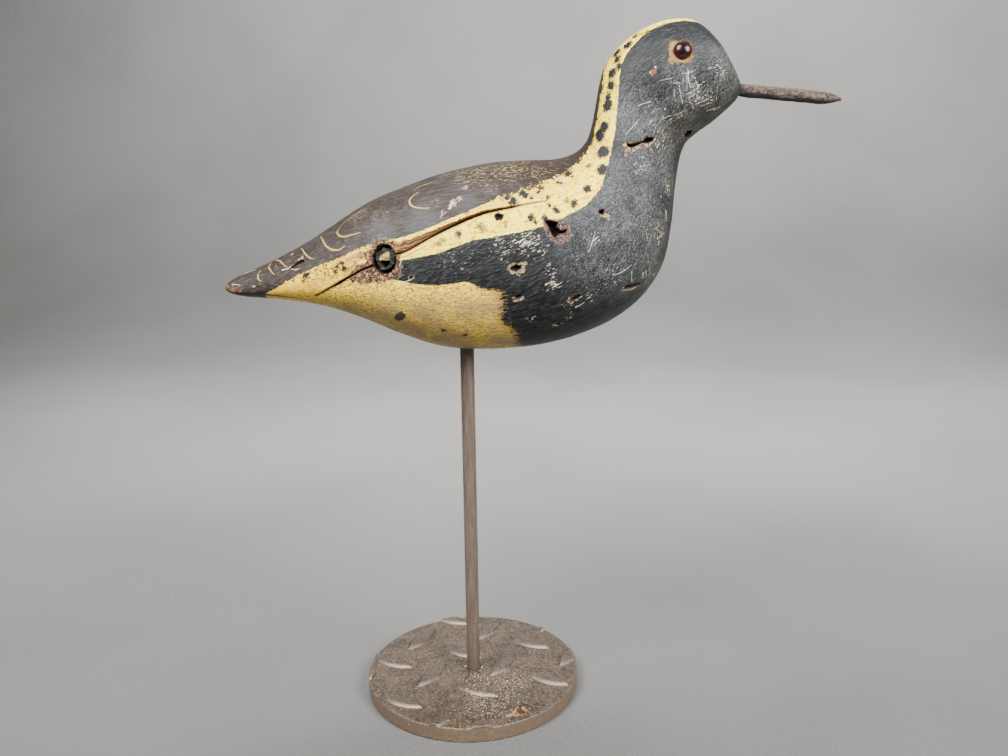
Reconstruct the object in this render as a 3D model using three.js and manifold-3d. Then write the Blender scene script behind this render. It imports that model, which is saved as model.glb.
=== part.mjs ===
// Carved shorebird decoy on its stand: a wooden body with glass eyes and an iron spike for a bill,
// held up by a steel rod that stands in a round foot cut from tread plate.
// Millimetres, +Z up, bill towards +X. The origin is the centre of the foot's underside.

import * as THREE from 'three';
import { mergeVertices } from 'three/addons/utils/BufferGeometryUtils.js';
import Module from 'manifold-3d';

const wasm = await Module();
wasm.setup();

// Clearance around every piece that sits in a hole or a socket
const FIT_CLEARANCE = 0.3;

// Foot: a disc of tread plate, with lugs in two families at right angles
const FOOT_DIAMETER = 101.6;
const FOOT_THICKNESS = 7;
const FOOT_EDGE_RADIUS = 0.6;
const LUG_LENGTH = 25;
const LUG_WIDTH = 8.6;
const LUG_HEIGHT = 1.2;
const LUG_BEVEL = 0.8;
const LUG_SPACING = 35;
const LUG_PATTERN_TURN = 15;
const LUG_TURN = -30;
const LUG_PATTERN_START = [2, -19.6];

// Rod: plain bar, set in a blind hole in the foot and in a hole in the belly
const ROD_DIAMETER = 6.35;
const ROD_CHAMFER = 0.5;
const ROD_DEPTH_IN_FOOT = 5;
const ROD_DEPTH_IN_BODY = 40;

// Body: the carved wood
const BODY_LENGTH = 226;
const BODY_WIDTH = 72;
const BELLY_HEIGHT = 167.8;
const ROD_FROM_TAIL = 107;
const SECTION_ROUNDNESS = 2.15;

// The carved form, from the tail's tip to the face. Each station is a slanted section through the wood,
// with its back and belly points [along from the tail, up from the belly] in hundredths of the body's
// length, its width in hundredths of the body's width, and the share of its height where it is widest.
// The face ends 0.4 short of the full length.
const STATIONS = [
  { place: 'tail tip', back: [0.0, 12.2], belly: [0.0, 12.1], width: 0.8, widest: 0.4 },
  { place: 'tail edge', back: [1.2, 13.3], belly: [1.5, 11.2], width: 18, widest: 0.38 },
  { place: 'tail', back: [4.2, 15.0], belly: [4.4, 10.5], width: 28, widest: 0.36 },
  { place: 'tail root', back: [9.3, 17.1], belly: [9.3, 10.1], width: 39, widest: 0.36 },
  { place: 'vent', back: [15.5, 20.2], belly: [15.3, 9.5], width: 53, widest: 0.38 },
  { place: 'rump', back: [22.1, 24.2], belly: [21.7, 8.3], width: 67, widest: 0.42 },
  { place: 'hip', back: [29.0, 28.5], belly: [28.3, 6.0], width: 79, widest: 0.46 },
  { place: 'lower back', back: [36.3, 31.5], belly: [35.4, 2.9], width: 90, widest: 0.48 },
  { place: 'middle back', back: [44.2, 34.1], belly: [43.4, 0.5], width: 97, widest: 0.5 },
  { place: 'belly', back: [52.2, 35.8], belly: [52.2, 0.0], width: 100, widest: 0.5 },
  { place: 'shoulder', back: [59.3, 36.3], belly: [61.5, 0.8], width: 100, widest: 0.5 },
  { place: 'low breast', back: [64.6, 36.4], belly: [69.9, 3.0], width: 97, widest: 0.5 },
  { place: 'breast', back: [68.4, 37.5], belly: [77.0, 6.3], width: 90, widest: 0.5 },
  { place: 'high breast', back: [70.8, 39.7], belly: [82.4, 10.9], width: 81, widest: 0.5 },
  { place: 'neck root', back: [71.9, 42.9], belly: [85.8, 16.7], width: 69, widest: 0.5 },
  { place: 'low neck', back: [72.5, 46.3], belly: [87.2, 24.0], width: 60, widest: 0.5 },
  { place: 'neck', back: [73.1, 49.9], belly: [87.8, 31.5], width: 52, widest: 0.5 },
  { place: 'throat', back: [74.2, 53.3], belly: [89.0, 38.3], width: 50, widest: 0.5 },
  { place: 'nape', back: [76.6, 56.6], belly: [91.4, 41.1], width: 52, widest: 0.5 },
  { place: 'cheek', back: [80.5, 59.5], belly: [94.2, 43.0], width: 54, widest: 0.5 },
  { place: 'crown', back: [85.2, 61.2], belly: [96.5, 45.0], width: 53, widest: 0.5 },
  { place: 'brow', back: [89.8, 61.2], belly: [98.3, 46.7], width: 48, widest: 0.5 },
  { place: 'forehead', back: [93.4, 58.8], belly: [99.0, 47.7], width: 38, widest: 0.5 },
  { place: 'bridge', back: [96.2, 55.1], belly: [99.3, 48.3], width: 27, widest: 0.5 },
  { place: 'face', back: [98.3, 51.7], belly: [99.5, 48.8], width: 14, widest: 0.5 },
  { place: 'bill root', back: [99.6, 49.6], belly: [99.6, 49.3], width: 1.4, widest: 0.5 },
];

// Old breaks in the wood's right side, each centred at [along, up] in hundredths of the body's length
const SPLIT_LINE = [
  [19.9, 11.8], [26.5, 15.4], [33.7, 19.0], [37.0, 20.2], [41.8, 22.8], [48.0, 25.8], [54.5, 27.8], [61.6, 29.1],
];
const SPLIT_WIDTH = 1.9;
const SPLIT_DEPTH = 7;
const KNOT = { centre: [33.7, 19.1], long: 10, high: 11.8, lean: 0, deep: 5 };
const KNOT_CORE = { centre: [34.0, 19.9], long: 6.4, high: 5.8, lean: 0, deep: 1.2 };
const CHIPS = [
  { place: 'neck nick', centre: [79.7, 39.3], long: 11.4, high: 1.9, lean: 14, deep: 3 },
  { place: 'breast hole', centre: [64.9, 24.5], long: 6, high: 8, lean: -20, deep: 3 },
  { place: 'low breast gouge', centre: [79.0, 13.4], long: 9, high: 3.2, lean: -25, deep: 2 },
  { place: 'lower breast chip', centre: [68.3, 11.7], long: 6, high: 2.6, lean: 10, deep: 1.6 },
  { place: 'flank pit', centre: [57.6, 17.3], long: 4.6, high: 4, lean: 0, deep: 2 },
  { place: 'shoulder pit', centre: [73.2, 27.2], long: 3.8, high: 3.2, lean: 0, deep: 2 },
  { place: 'tail chip', centre: [16.6, 17.6], long: 6, high: 2.8, lean: 25, deep: 1.4 },
];

// Eyes: glass domes in sockets, placed on the skin by share of the stations and turn up from the side
const EYE_DIAMETER = 7.4;
const EYE_DOME_HEIGHT = 2.5;
const EYE_SEAT_DEPTH = 2.6;
const EYE_ALONG = 0.783;
const EYE_TURN = 18;

// Bill: a rusted iron spike with a blunt point, drooping from the face
const BILL_REACH = 42.9;
const BILL_THICKNESS = 5.4;
const BILL_POINT_LENGTH = 10;
const BILL_POINT_BLUNTNESS = 0.75;
const BILL_DROOP = 5;
const BILL_DEPTH_IN_FACE = 14;
const BILL_DROP_FROM_FACE_MIDDLE = 1.3;

// Facets
const BODY_RINGS = 52;
const BODY_SIDES = 32;
const FOOT_SIDES = 64;
const ROUND_SIDES = 24;
const ARC_STEPS = 6;
const LUG_ARC_STEPS = 5;
const SPLIT_STEPS = 24;
const MERGE_DISTANCE = 1e-4;

// Solids: merged triangles for joining and cutting, and back again for a mesh
function solidOf(geometry) {
  const bare = geometry.clone();
  bare.deleteAttribute('normal');
  bare.deleteAttribute('uv');
  const merged = mergeVertices(bare, MERGE_DISTANCE);
  const corners = merged.index.array;
  const triangles = [];
  for (let i = 0; i < corners.length; i += 3) {
    const [a, b, c] = corners.slice(i, i + 3);
    if (a !== b && b !== c && c !== a) triangles.push(a, b, c);
  }
  return new wasm.Manifold(new wasm.Mesh({
    numProp: 3,
    vertProperties: new Float32Array(merged.attributes.position.array),
    triVerts: new Uint32Array(triangles),
  }));
}

function geometryOf(solid) {
  const mesh = solid.getMesh();
  const geometry = new THREE.BufferGeometry();
  geometry.setAttribute('position', new THREE.BufferAttribute(mesh.vertProperties, 3));
  geometry.setIndex(new THREE.BufferAttribute(mesh.triVerts, 1));
  geometry.computeVertexNormals();
  return geometry;
}

// A turned shape from [radius, height] points that start and end on its axis, standing along +Z
function turned(profile, sides) {
  const points = profile.map(([radius, height]) => new THREE.Vector2(radius, height));
  return new THREE.LatheGeometry(points, sides).rotateX(Math.PI / 2);
}

// A round bar or a drill from one height to another
function bar(radius, bottom, top, sides = ROUND_SIDES) {
  return turned([[0, bottom], [radius, bottom], [radius, top], [0, top]], sides);
}

// The wood's form as three smooth lines through the stations
const outlinePoint = ([along, up]) => new THREE.Vector3(
  (along / 100) * BODY_LENGTH - ROD_FROM_TAIL,
  0,
  BELLY_HEIGHT + (up / 100) * BODY_LENGTH,
);
const smooth = (points) => new THREE.CatmullRomCurve3(points, false, 'catmullrom', 0.5);
const backLine = smooth(STATIONS.map((station) => outlinePoint(station.back)));
const bellyLine = smooth(STATIONS.map((station) => outlinePoint(station.belly)));
const girthLine = smooth(STATIONS.map(({ width, widest }) => (
  new THREE.Vector3((width / 200) * BODY_WIDTH, widest, 0)
)));

const roundedPower = (value) => Math.sign(value) * Math.abs(value) ** (2 / SECTION_ROUNDNESS);

// A point on the skin: along is 0 at the tail and 1 at the face, and turn is 0 on the right side,
// a quarter on the back, a half on the left side and three quarters on the belly. inset sinks it.
function skinPoint(along, turn, inset = 0) {
  const back = backLine.getPoint(along);
  const belly = bellyLine.getPoint(along);
  const { x: halfWidth, y: widest } = girthLine.getPoint(along);
  const height = back.distanceTo(belly);
  const kept = Math.max(height - 2 * inset, 0) / height;
  const middle = belly.clone().lerp(back, widest);
  const angle = 2 * Math.PI * turn;
  const rise = roundedPower(Math.sin(angle)) * kept;
  const end = rise > 0 ? back : belly;
  const point = middle.clone().lerp(end, Math.abs(rise));
  point.y = -Math.max(halfWidth - inset, 0) * roundedPower(Math.cos(angle));
  return point;
}

// The closed skin: a pole at the tail's tip, rings, and a pole at the bill's root
function skin(inset = 0) {
  const positions = [...skinPoint(0, 0).setY(0).toArray()];
  for (let ring = 1; ring < BODY_RINGS; ring += 1) {
    for (let side = 0; side < BODY_SIDES; side += 1) {
      positions.push(...skinPoint(ring / BODY_RINGS, side / BODY_SIDES, inset).toArray());
    }
  }
  positions.push(...skinPoint(1, 0).setY(0).toArray());
  const last = positions.length / 3 - 1;
  const at = (ring, side) => 1 + (ring - 1) * BODY_SIDES + (side % BODY_SIDES);
  const triangles = [];
  for (let side = 0; side < BODY_SIDES; side += 1) {
    triangles.push(0, at(1, side), at(1, side + 1));
    for (let ring = 1; ring < BODY_RINGS - 1; ring += 1) {
      triangles.push(at(ring, side), at(ring + 1, side), at(ring + 1, side + 1));
      triangles.push(at(ring, side), at(ring + 1, side + 1), at(ring, side + 1));
    }
    triangles.push(at(BODY_RINGS - 1, side), last, at(BODY_RINGS - 1, side + 1));
  }
  const geometry = new THREE.BufferGeometry();
  geometry.setAttribute('position', new THREE.Float32BufferAttribute(positions, 3));
  geometry.setIndex(triangles);
  return geometry;
}

// Cuts in the right side: an outline in the bird's side view, sunk to a depth below the skin
function sideOutline(points) {
  return new THREE.Shape(points.map(({ x, y }) => new THREE.Vector2(x, y)));
}

function rightSideBlock(shape) {
  return new THREE.ExtrudeGeometry(shape, { depth: BODY_WIDTH, bevelEnabled: false, curveSegments: ARC_STEPS })
    .rotateX(Math.PI / 2);
}

function rightSideCut(shape, depth) {
  return solidOf(rightSideBlock(shape)).subtract(solidOf(skin(depth)));
}

function ovalShape({ centre, long, high, lean }) {
  const { x, z } = outlinePoint(centre);
  const turn = THREE.MathUtils.degToRad(lean);
  const oval = new THREE.EllipseCurve(x, z, long / 2, high / 2, 0, 2 * Math.PI, false, turn);
  return sideOutline(oval.getPoints(ARC_STEPS * 3).slice(0, -1));
}

function splitShape() {
  const line = new THREE.SplineCurve(SPLIT_LINE.map((place) => {
    const { x, z } = outlinePoint(place);
    return new THREE.Vector2(x, z);
  }));
  const edge = (side) => (_, step) => {
    const share = (step + 1) / SPLIT_STEPS;
    const { x, y } = line.getPoint(share);
    const { x: runX, y: runY } = line.getTangent(share);
    const half = (side * SPLIT_WIDTH * Math.sin(Math.PI * share)) / 2;
    return new THREE.Vector2(x - runY * half, y + runX * half);
  };
  const upper = Array.from({ length: SPLIT_STEPS - 1 }, edge(1));
  const lower = Array.from({ length: SPLIT_STEPS - 1 }, edge(-1));
  return sideOutline([line.getPoint(0), ...lower, line.getPoint(1), ...upper.reverse()]);
}

function breaks() {
  const core = solidOf(rightSideBlock(ovalShape(KNOT_CORE))).intersect(solidOf(skin(KNOT_CORE.deep)));
  const knot = rightSideCut(ovalShape(KNOT), KNOT.deep).subtract(core);
  const split = rightSideCut(splitShape(), SPLIT_DEPTH).subtract(core);
  const chips = CHIPS.map((chip) => rightSideCut(ovalShape(chip), chip.deep));
  return chips.reduce((all, chip) => all.add(chip), knot.add(split));
}

// Eyes: the place and outward direction of a socket, for the right side (-1) or the left side (1)
function eyeSeat(side) {
  const step = 1e-3;
  const turn = side < 0 ? EYE_TURN / 360 : 0.5 - EYE_TURN / 360;
  const centre = skinPoint(EYE_ALONG, turn);
  const forward = skinPoint(EYE_ALONG + step, turn).sub(centre);
  const around = skinPoint(EYE_ALONG, turn + step).sub(centre);
  const outward = forward.cross(around).normalize();
  const quaternion = new THREE.Quaternion().setFromUnitVectors(new THREE.Vector3(0, 0, 1), outward);
  return { centre, quaternion };
}

function eyeGeometry() {
  const radius = EYE_DIAMETER / 2;
  const profile = [[0, -EYE_SEAT_DEPTH], [radius, -EYE_SEAT_DEPTH]];
  for (let step = 0; step < ARC_STEPS; step += 1) {
    const angle = (Math.PI / 2) * (step / ARC_STEPS);
    profile.push([radius * Math.cos(angle), EYE_DOME_HEIGHT * Math.sin(angle)]);
  }
  profile.push([0, EYE_DOME_HEIGHT]);
  return turned(profile, ROUND_SIDES);
}

function eyeSocket(side) {
  const { centre, quaternion } = eyeSeat(side);
  const drill = bar(EYE_DIAMETER / 2 + FIT_CLEARANCE, -EYE_SEAT_DEPTH - FIT_CLEARANCE, EYE_DIAMETER);
  return solidOf(drill.applyQuaternion(quaternion).translate(...centre.toArray()));
}

// Bill: its seat is at the middle of the face, and it points along +X before it droops
function billSeat() {
  const root = skinPoint(1, 0).setY(0);
  root.z -= BILL_DROP_FROM_FACE_MIDDLE;
  const turn = Math.PI / 2 + THREE.MathUtils.degToRad(BILL_DROOP);
  return { root, quaternion: new THREE.Quaternion().setFromAxisAngle(new THREE.Vector3(0, 1, 0), turn) };
}

function billGeometry() {
  const radius = BILL_THICKNESS / 2;
  const profile = [[0, -BILL_DEPTH_IN_FACE], [radius, -BILL_DEPTH_IN_FACE]];
  for (let step = 0; step < ARC_STEPS; step += 1) {
    const share = step / ARC_STEPS;
    const thin = (1 - share ** 2) ** BILL_POINT_BLUNTNESS;
    profile.push([radius * thin, BILL_REACH - BILL_POINT_LENGTH * (1 - share)]);
  }
  profile.push([0, BILL_REACH]);
  return turned(profile, ROUND_SIDES);
}

function billHole() {
  const { root, quaternion } = billSeat();
  const drill = bar(BILL_THICKNESS / 2 + FIT_CLEARANCE, -BILL_DEPTH_IN_FACE - FIT_CLEARANCE, BILL_REACH);
  return solidOf(drill.applyQuaternion(quaternion).translate(...root.toArray()));
}

// Rod, and the holes that take its ends
const rodBottom = FOOT_THICKNESS - ROD_DEPTH_IN_FOOT;
const rodTop = BELLY_HEIGHT + ROD_DEPTH_IN_BODY;

function rodGeometry() {
  const radius = ROD_DIAMETER / 2;
  const low = rodBottom + FIT_CLEARANCE;
  const high = rodTop - FIT_CLEARANCE;
  return turned([
    [0, low],
    [radius - ROD_CHAMFER, low],
    [radius, low + ROD_CHAMFER],
    [radius, high - ROD_CHAMFER],
    [radius - ROD_CHAMFER, high],
    [0, high],
  ], ROUND_SIDES);
}

function rodHole(bottom, top) {
  return solidOf(bar(ROD_DIAMETER / 2 + FIT_CLEARANCE, bottom, top));
}

function bodyGeometry() {
  return geometryOf(solidOf(skin())
    .subtract(breaks())
    .subtract(eyeSocket(-1))
    .subtract(eyeSocket(1))
    .subtract(billHole())
    .subtract(rodHole(FOOT_THICKNESS, rodTop)));
}

// Foot: the plate's rounded disc, with lens shaped lugs cut off at its rim
function lugShape() {
  const halfLength = LUG_LENGTH / 2;
  const sagitta = LUG_WIDTH / 2;
  const radius = (halfLength ** 2 + sagitta ** 2) / (2 * sagitta);
  const spread = Math.asin(halfLength / radius);
  const shape = new THREE.Shape();
  shape.absarc(0, sagitta - radius, radius, Math.PI / 2 + spread, Math.PI / 2 - spread, true);
  shape.absarc(0, radius - sagitta, radius, spread - Math.PI / 2, -spread - Math.PI / 2, true);
  return shape;
}

function lug(x, y, degrees) {
  const buried = LUG_BEVEL;
  const geometry = new THREE.ExtrudeGeometry(lugShape(), {
    depth: LUG_HEIGHT + buried - LUG_BEVEL,
    bevelThickness: LUG_BEVEL,
    bevelSize: LUG_BEVEL,
    bevelOffset: -LUG_BEVEL,
    bevelSegments: 1,
    curveSegments: LUG_ARC_STEPS,
  });
  return solidOf(geometry
    .rotateZ(THREE.MathUtils.degToRad(degrees))
    .translate(x, y, FOOT_THICKNESS - buried));
}

function lugs() {
  const turn = THREE.MathUtils.degToRad(LUG_PATTERN_TURN);
  const stepU = new THREE.Vector2(Math.cos(turn), Math.sin(turn)).multiplyScalar(LUG_SPACING);
  const stepV = new THREE.Vector2(Math.sin(turn), -Math.cos(turn)).multiplyScalar(LUG_SPACING);
  const reach = (FOOT_DIAMETER + LUG_LENGTH) / 2;
  const count = Math.ceil(reach / LUG_SPACING) + 1;
  const found = [];
  for (let u = -count; u <= count; u += 1) {
    for (let v = -count; v <= count; v += 1) {
      for (const family of [0, 1]) {
        const centre = new THREE.Vector2(...LUG_PATTERN_START)
          .addScaledVector(stepU, u + family / 2)
          .addScaledVector(stepV, v + family / 2);
        if (centre.length() < reach) found.push(lug(centre.x, centre.y, LUG_TURN + 90 * family));
      }
    }
  }
  return found.reduce((all, one) => all.add(one));
}

function footGeometry() {
  const radius = FOOT_DIAMETER / 2;
  const edge = FOOT_EDGE_RADIUS;
  const disc = solidOf(turned([
    [0, 0],
    [radius - edge, 0],
    [radius, edge],
    [radius, FOOT_THICKNESS - edge],
    [radius - edge, FOOT_THICKNESS],
    [0, FOOT_THICKNESS],
  ], FOOT_SIDES));
  const inRim = solidOf(bar(radius - edge / 2, edge, FOOT_THICKNESS + LUG_HEIGHT * 2, FOOT_SIDES));
  return geometryOf(disc
    .add(lugs().intersect(inRim))
    .subtract(rodHole(rodBottom, FOOT_THICKNESS + LUG_HEIGHT * 2)));
}

// The decoy
function piece(name, geometry, material) {
  const mesh = new THREE.Mesh(geometry, new THREE.MeshStandardMaterial(material));
  mesh.name = name;
  return mesh;
}

function seated(mesh, position, quaternion) {
  mesh.position.copy(position);
  mesh.quaternion.copy(quaternion);
  return mesh;
}

const PAINTED_WOOD = { color: 0x4a4038, roughness: 0.6, metalness: 0 };
const RUSTY_IRON = { color: 0x5d3526, roughness: 0.8, metalness: 0.5 };
const EYE_GLASS = { color: 0x2a120b, roughness: 0.05, metalness: 0 };
const PAINTED_STEEL = { color: 0x6a5d50, roughness: 0.45, metalness: 0.6 };

const decoy = new THREE.Group();
decoy.name = 'shorebird_decoy';
decoy.add(piece('body', bodyGeometry(), PAINTED_WOOD));
decoy.add(seated(piece('bill', billGeometry(), RUSTY_IRON), billSeat().root, billSeat().quaternion));
for (const [name, side] of [['eye_right', -1], ['eye_left', 1]]) {
  const { centre, quaternion } = eyeSeat(side);
  decoy.add(seated(piece(name, eyeGeometry(), EYE_GLASS), centre, quaternion));
}
decoy.add(piece('rod', rodGeometry(), PAINTED_STEEL));
decoy.add(piece('foot', footGeometry(), PAINTED_STEEL));

export default decoy;
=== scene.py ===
"""A carved shorebird decoy on its stand, with its old paint, rust and wear.

Lengths are in millimetres and become metres when a mesh is made. The bird looks along +X, its right side
faces -Y, and the foot's underside is at height 0. A place on the bird's skin is a station, counted from the
tail's tip, and a turn in degrees: 0 on the right side, 90 on the back, 180 on the left and -90 on the belly.
"""

import logging
import math
from dataclasses import dataclass, field
from enum import Enum
from typing import Mapping, Sequence, Union

import bmesh
import bpy
import numpy as np
from bpy.types import Material, Mesh, Node, NodeSocket, Object
from mathutils import Matrix, Vector, noise


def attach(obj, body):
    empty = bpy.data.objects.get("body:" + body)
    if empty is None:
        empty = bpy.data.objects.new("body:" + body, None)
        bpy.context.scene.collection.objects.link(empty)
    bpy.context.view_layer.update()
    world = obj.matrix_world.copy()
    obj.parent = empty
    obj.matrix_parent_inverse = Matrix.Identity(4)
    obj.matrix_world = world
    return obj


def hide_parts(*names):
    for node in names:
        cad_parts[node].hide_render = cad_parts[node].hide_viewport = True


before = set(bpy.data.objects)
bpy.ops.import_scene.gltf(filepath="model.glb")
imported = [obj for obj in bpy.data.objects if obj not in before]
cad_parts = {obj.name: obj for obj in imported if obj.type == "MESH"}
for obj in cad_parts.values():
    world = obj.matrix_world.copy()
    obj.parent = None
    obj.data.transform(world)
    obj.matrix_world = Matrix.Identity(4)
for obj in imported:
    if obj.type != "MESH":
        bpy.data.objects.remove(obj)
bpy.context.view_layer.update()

log = logging.getLogger("decoy")

MM = 0.001
ROOT = "root"
FIT_CLEARANCE = 0.3
OUTSIDE = -20.0  # The depth given to points that lie far outside an outline

Colour = tuple[float, float, float]
Place = tuple[float, float]
Pair = tuple[Colour, Colour]
Offset = tuple[float, float]
Outline = tuple[Offset, ...]
Line = tuple[Place, ...]
Spot = tuple[Place, float]
Array = np.ndarray
Number = Union["Signal", float]
Paint = Union["Signal", Colour]
Settings = Mapping[str, object]
Inputs = Mapping[str | int, object]


class Side(Enum):
    """The bird's two sides, by the sign of y."""

    RIGHT = -1
    LEFT = 1


class Slot(Enum):
    """The record's material slots."""

    BODY = "painted_wood"
    BILL = "rusty_iron"
    EYE = "eye_glass"
    ROD = "painted_rod"
    FOOT = "painted_plate"


# Numbers and shapes


def smooth_step(low: float, high: float, value: Array) -> Array:
    """Rises smoothly from 0 at low to 1 at high."""
    share = np.clip((value - low) / (high - low), 0.0, 1.0)
    return share * share * (3.0 - 2.0 * share)


def lengths(rows: Array) -> Array:
    """Gives each row's length."""
    return np.linalg.norm(rows, axis=1)


def catmull_rom(rows: Array, where: Array) -> Array:
    """Reads a smooth curve through rows.

    Args:
        rows: One row of numbers for each point of the curve.
        where: Positions along it, counted in rows.

    Returns:
        One row for each position.
    """
    last = len(rows) - 1
    padded = np.vstack([2 * rows[0] - rows[1], rows, 2 * rows[-1] - rows[-2]])
    low = np.clip(np.floor(where).astype(int), 0, last - 1)
    share = (where - low)[:, None]
    before, start, end, after = (padded[low + step] for step in range(4))
    leave, arrive = (end - before) / 2, (after - start) / 2
    cubic = 2 * start - 2 * end + leave + arrive
    square = -3 * start + 3 * end - 2 * leave - arrive
    return ((cubic * share + square) * share + leave) * share + start


def smooth_path(points: Sequence[Sequence[float]], steps: int = 6) -> Array:
    """Gives a smooth line through points, with a number of steps between each two."""
    rows = np.array(points, float)
    return catmull_rom(rows, np.linspace(0, len(rows) - 1, (len(rows) - 1) * steps + 1))


def nearest_on_path(points: Array, path: Array) -> tuple[Array, Array]:
    """Finds how far points lie from a path.

    Args:
        points: The points, one in a row.
        path: The path's corners, one in a row.

    Returns:
        Each point's offset from the nearest place on the path, and that place's share along it.
    """
    best = np.full(len(points), np.inf)
    offset = np.zeros_like(points)
    share = np.zeros(len(points))
    for index, (start, end) in enumerate(zip(path[:-1], path[1:])):
        run = end - start
        along = np.clip((points - start) @ run / max(run @ run, 1e-9), 0, 1)
        gap = points - start - along[:, None] * run
        size = np.einsum("ij,ij->i", gap, gap)
        closer = size < best
        best[closer] = size[closer]
        offset[closer] = gap[closer]
        share[closer] = (index + along[closer]) / (len(path) - 1)
    return offset, share


def is_inside(points: Array, outline: Array) -> Array:
    """Says which flat points lie inside a closed outline.

    Args:
        points: The points, one in a row.
        outline: The outline's corners, one in a row.

    Returns:
        True or false for each point.
    """
    x, y = points.T
    found = np.zeros(len(points), bool)
    for (x0, y0), (x1, y1) in zip(outline, np.roll(outline, -1, axis=0)):
        if y0 == y1:
            continue
        crosses = (y0 > y) != (y1 > y)
        found ^= crosses & (x < x0 + (y - y0) * (x1 - x0) / (y1 - y0))
    return found


def depth_inside(points: Array, outline: Array) -> Array:
    """Gives each flat point's distance inside a closed outline, negative outside it."""
    gap, _ = nearest_on_path(points, np.vstack([outline, outline[:1]]))
    return lengths(gap) * np.where(is_inside(points, outline), 1.0, -1.0)


def lumps(points: Array, size: float, seed: int) -> Array:
    """Gives smooth noise from about -1 to 1.

    Args:
        points: Where to read it, one point in a row.
        size: The lumps' size, in the points' unit.
        seed: Which of many patterns to read.

    Returns:
        One value for each point.
    """
    shift = Vector((seed * 17.3, seed * -9.1, seed * 5.7))
    return np.array([noise.noise(Vector(point) / size + shift) for point in points.tolist()])


# Meshes


def set_numbers(mesh: Mesh, name: str, values: Array) -> None:
    """Stores one number, or one vector, at each of a mesh's points."""
    kind, key = ("FLOAT", "value") if values.ndim == 1 else ("FLOAT_VECTOR", "vector")
    mesh.attributes.new(name, kind, "POINT").data.foreach_set(key, values.astype(np.float32).ravel())


def move_points(mesh: Mesh, points: Array) -> None:
    """Moves a mesh's points to places in millimetres."""
    mesh.vertices.foreach_set("co", (points * MM).ravel())
    mesh.update()


def add_piece(name: str, mesh: Mesh, node: str, material: Material) -> Object:
    """Puts a mesh into the scene as a piece that stands for a CAD node.

    Args:
        name: The piece's name.
        mesh: Its mesh, in metres.
        node: The node that it replaces.
        material: Its finish.

    Returns:
        The new object.
    """
    mesh.shade_smooth()
    piece = bpy.data.objects.new(name, mesh)
    bpy.context.scene.collection.objects.link(piece)
    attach(piece, ROOT)
    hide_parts(node)
    mesh.materials.append(material)
    log.info("%s: %d points, %d faces", name, len(mesh.vertices), len(mesh.polygons))
    return piece


def ringed_mesh(name: str, rings: Sequence[Array]) -> tuple[Mesh, Array]:
    """Makes a closed skin over rings of points, closed by a fan at each end.

    Args:
        name: The mesh's name.
        rings: Rings with the same number of points, in millimetres. They run so that faces point outward
            when each ring turns to the left around the direction from first to last.

    Returns:
        The mesh in metres and its points in millimetres: the rings in order, then the two fans' middles.
    """
    count, around = len(rings), len(rings[0])
    middles = [rings[0].mean(axis=0), rings[-1].mean(axis=0)]
    points = np.vstack([*rings, *middles])
    side = np.arange(around)
    following = (side + 1) % around
    faces = []
    for ring in range(count - 1):
        low, high = ring * around, (ring + 1) * around
        faces += np.stack([low + side, low + following, high + following, high + side], 1).tolist()
    first, last = count * around, count * around + 1
    end = (count - 1) * around
    faces += [[first, int(following[i]), int(i)] for i in side]
    faces += [[last, int(end + i), int(end + following[i])] for i in side]
    mesh = bpy.data.meshes.new(name)
    mesh.from_pydata((points * MM).tolist(), [], faces)
    mesh.update()
    return mesh, points


def turned_rings(profile: Sequence[Sequence[float]], around: int) -> list[Array]:
    """Turns [radius, height] points around +Z into rings."""
    turn = np.linspace(0, 2 * math.pi, around, endpoint=False)
    return [np.column_stack([np.cos(turn) * r, np.sin(turn) * r, np.full(around, z)]) for r, z in profile]


# Shader nodes


class Signal:
    """A number in a material's node tree, with Python's arithmetic on it."""

    def __init__(self, kit: "NodeKit", socket: NodeSocket) -> None:
        self.kit = kit
        self.socket = socket

    def __add__(self, other: Number) -> "Signal":
        """Adds a Math node for self + other."""
        return self.kit.math("ADD", self, other)

    __radd__ = __add__

    def __sub__(self, other: Number) -> "Signal":
        """Adds a Math node for self - other."""
        return self.kit.math("SUBTRACT", self, other)

    def __rsub__(self, other: Number) -> "Signal":
        """Adds a Math node for other - self."""
        return self.kit.math("SUBTRACT", other, self)

    def __mul__(self, other: Number) -> "Signal":
        """Adds a Math node for self * other."""
        return self.kit.math("MULTIPLY", self, other)

    __rmul__ = __mul__

    def over(self, other: Number) -> "Signal":
        """Gives the larger of two numbers."""
        return self.kit.math("MAXIMUM", self, other)

    def rise(self, low: float, high: float) -> "Signal":
        """Gives 0 below low, 1 above high, and a smooth rise between. high may be the lower one."""
        inputs = {"Value": self, "From Min": low, "From Max": high, "To Min": 0.0, "To Max": 1.0}
        return self.kit.read("ShaderNodeMapRange", {"interpolation_type": "SMOOTHSTEP"}, inputs)


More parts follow.
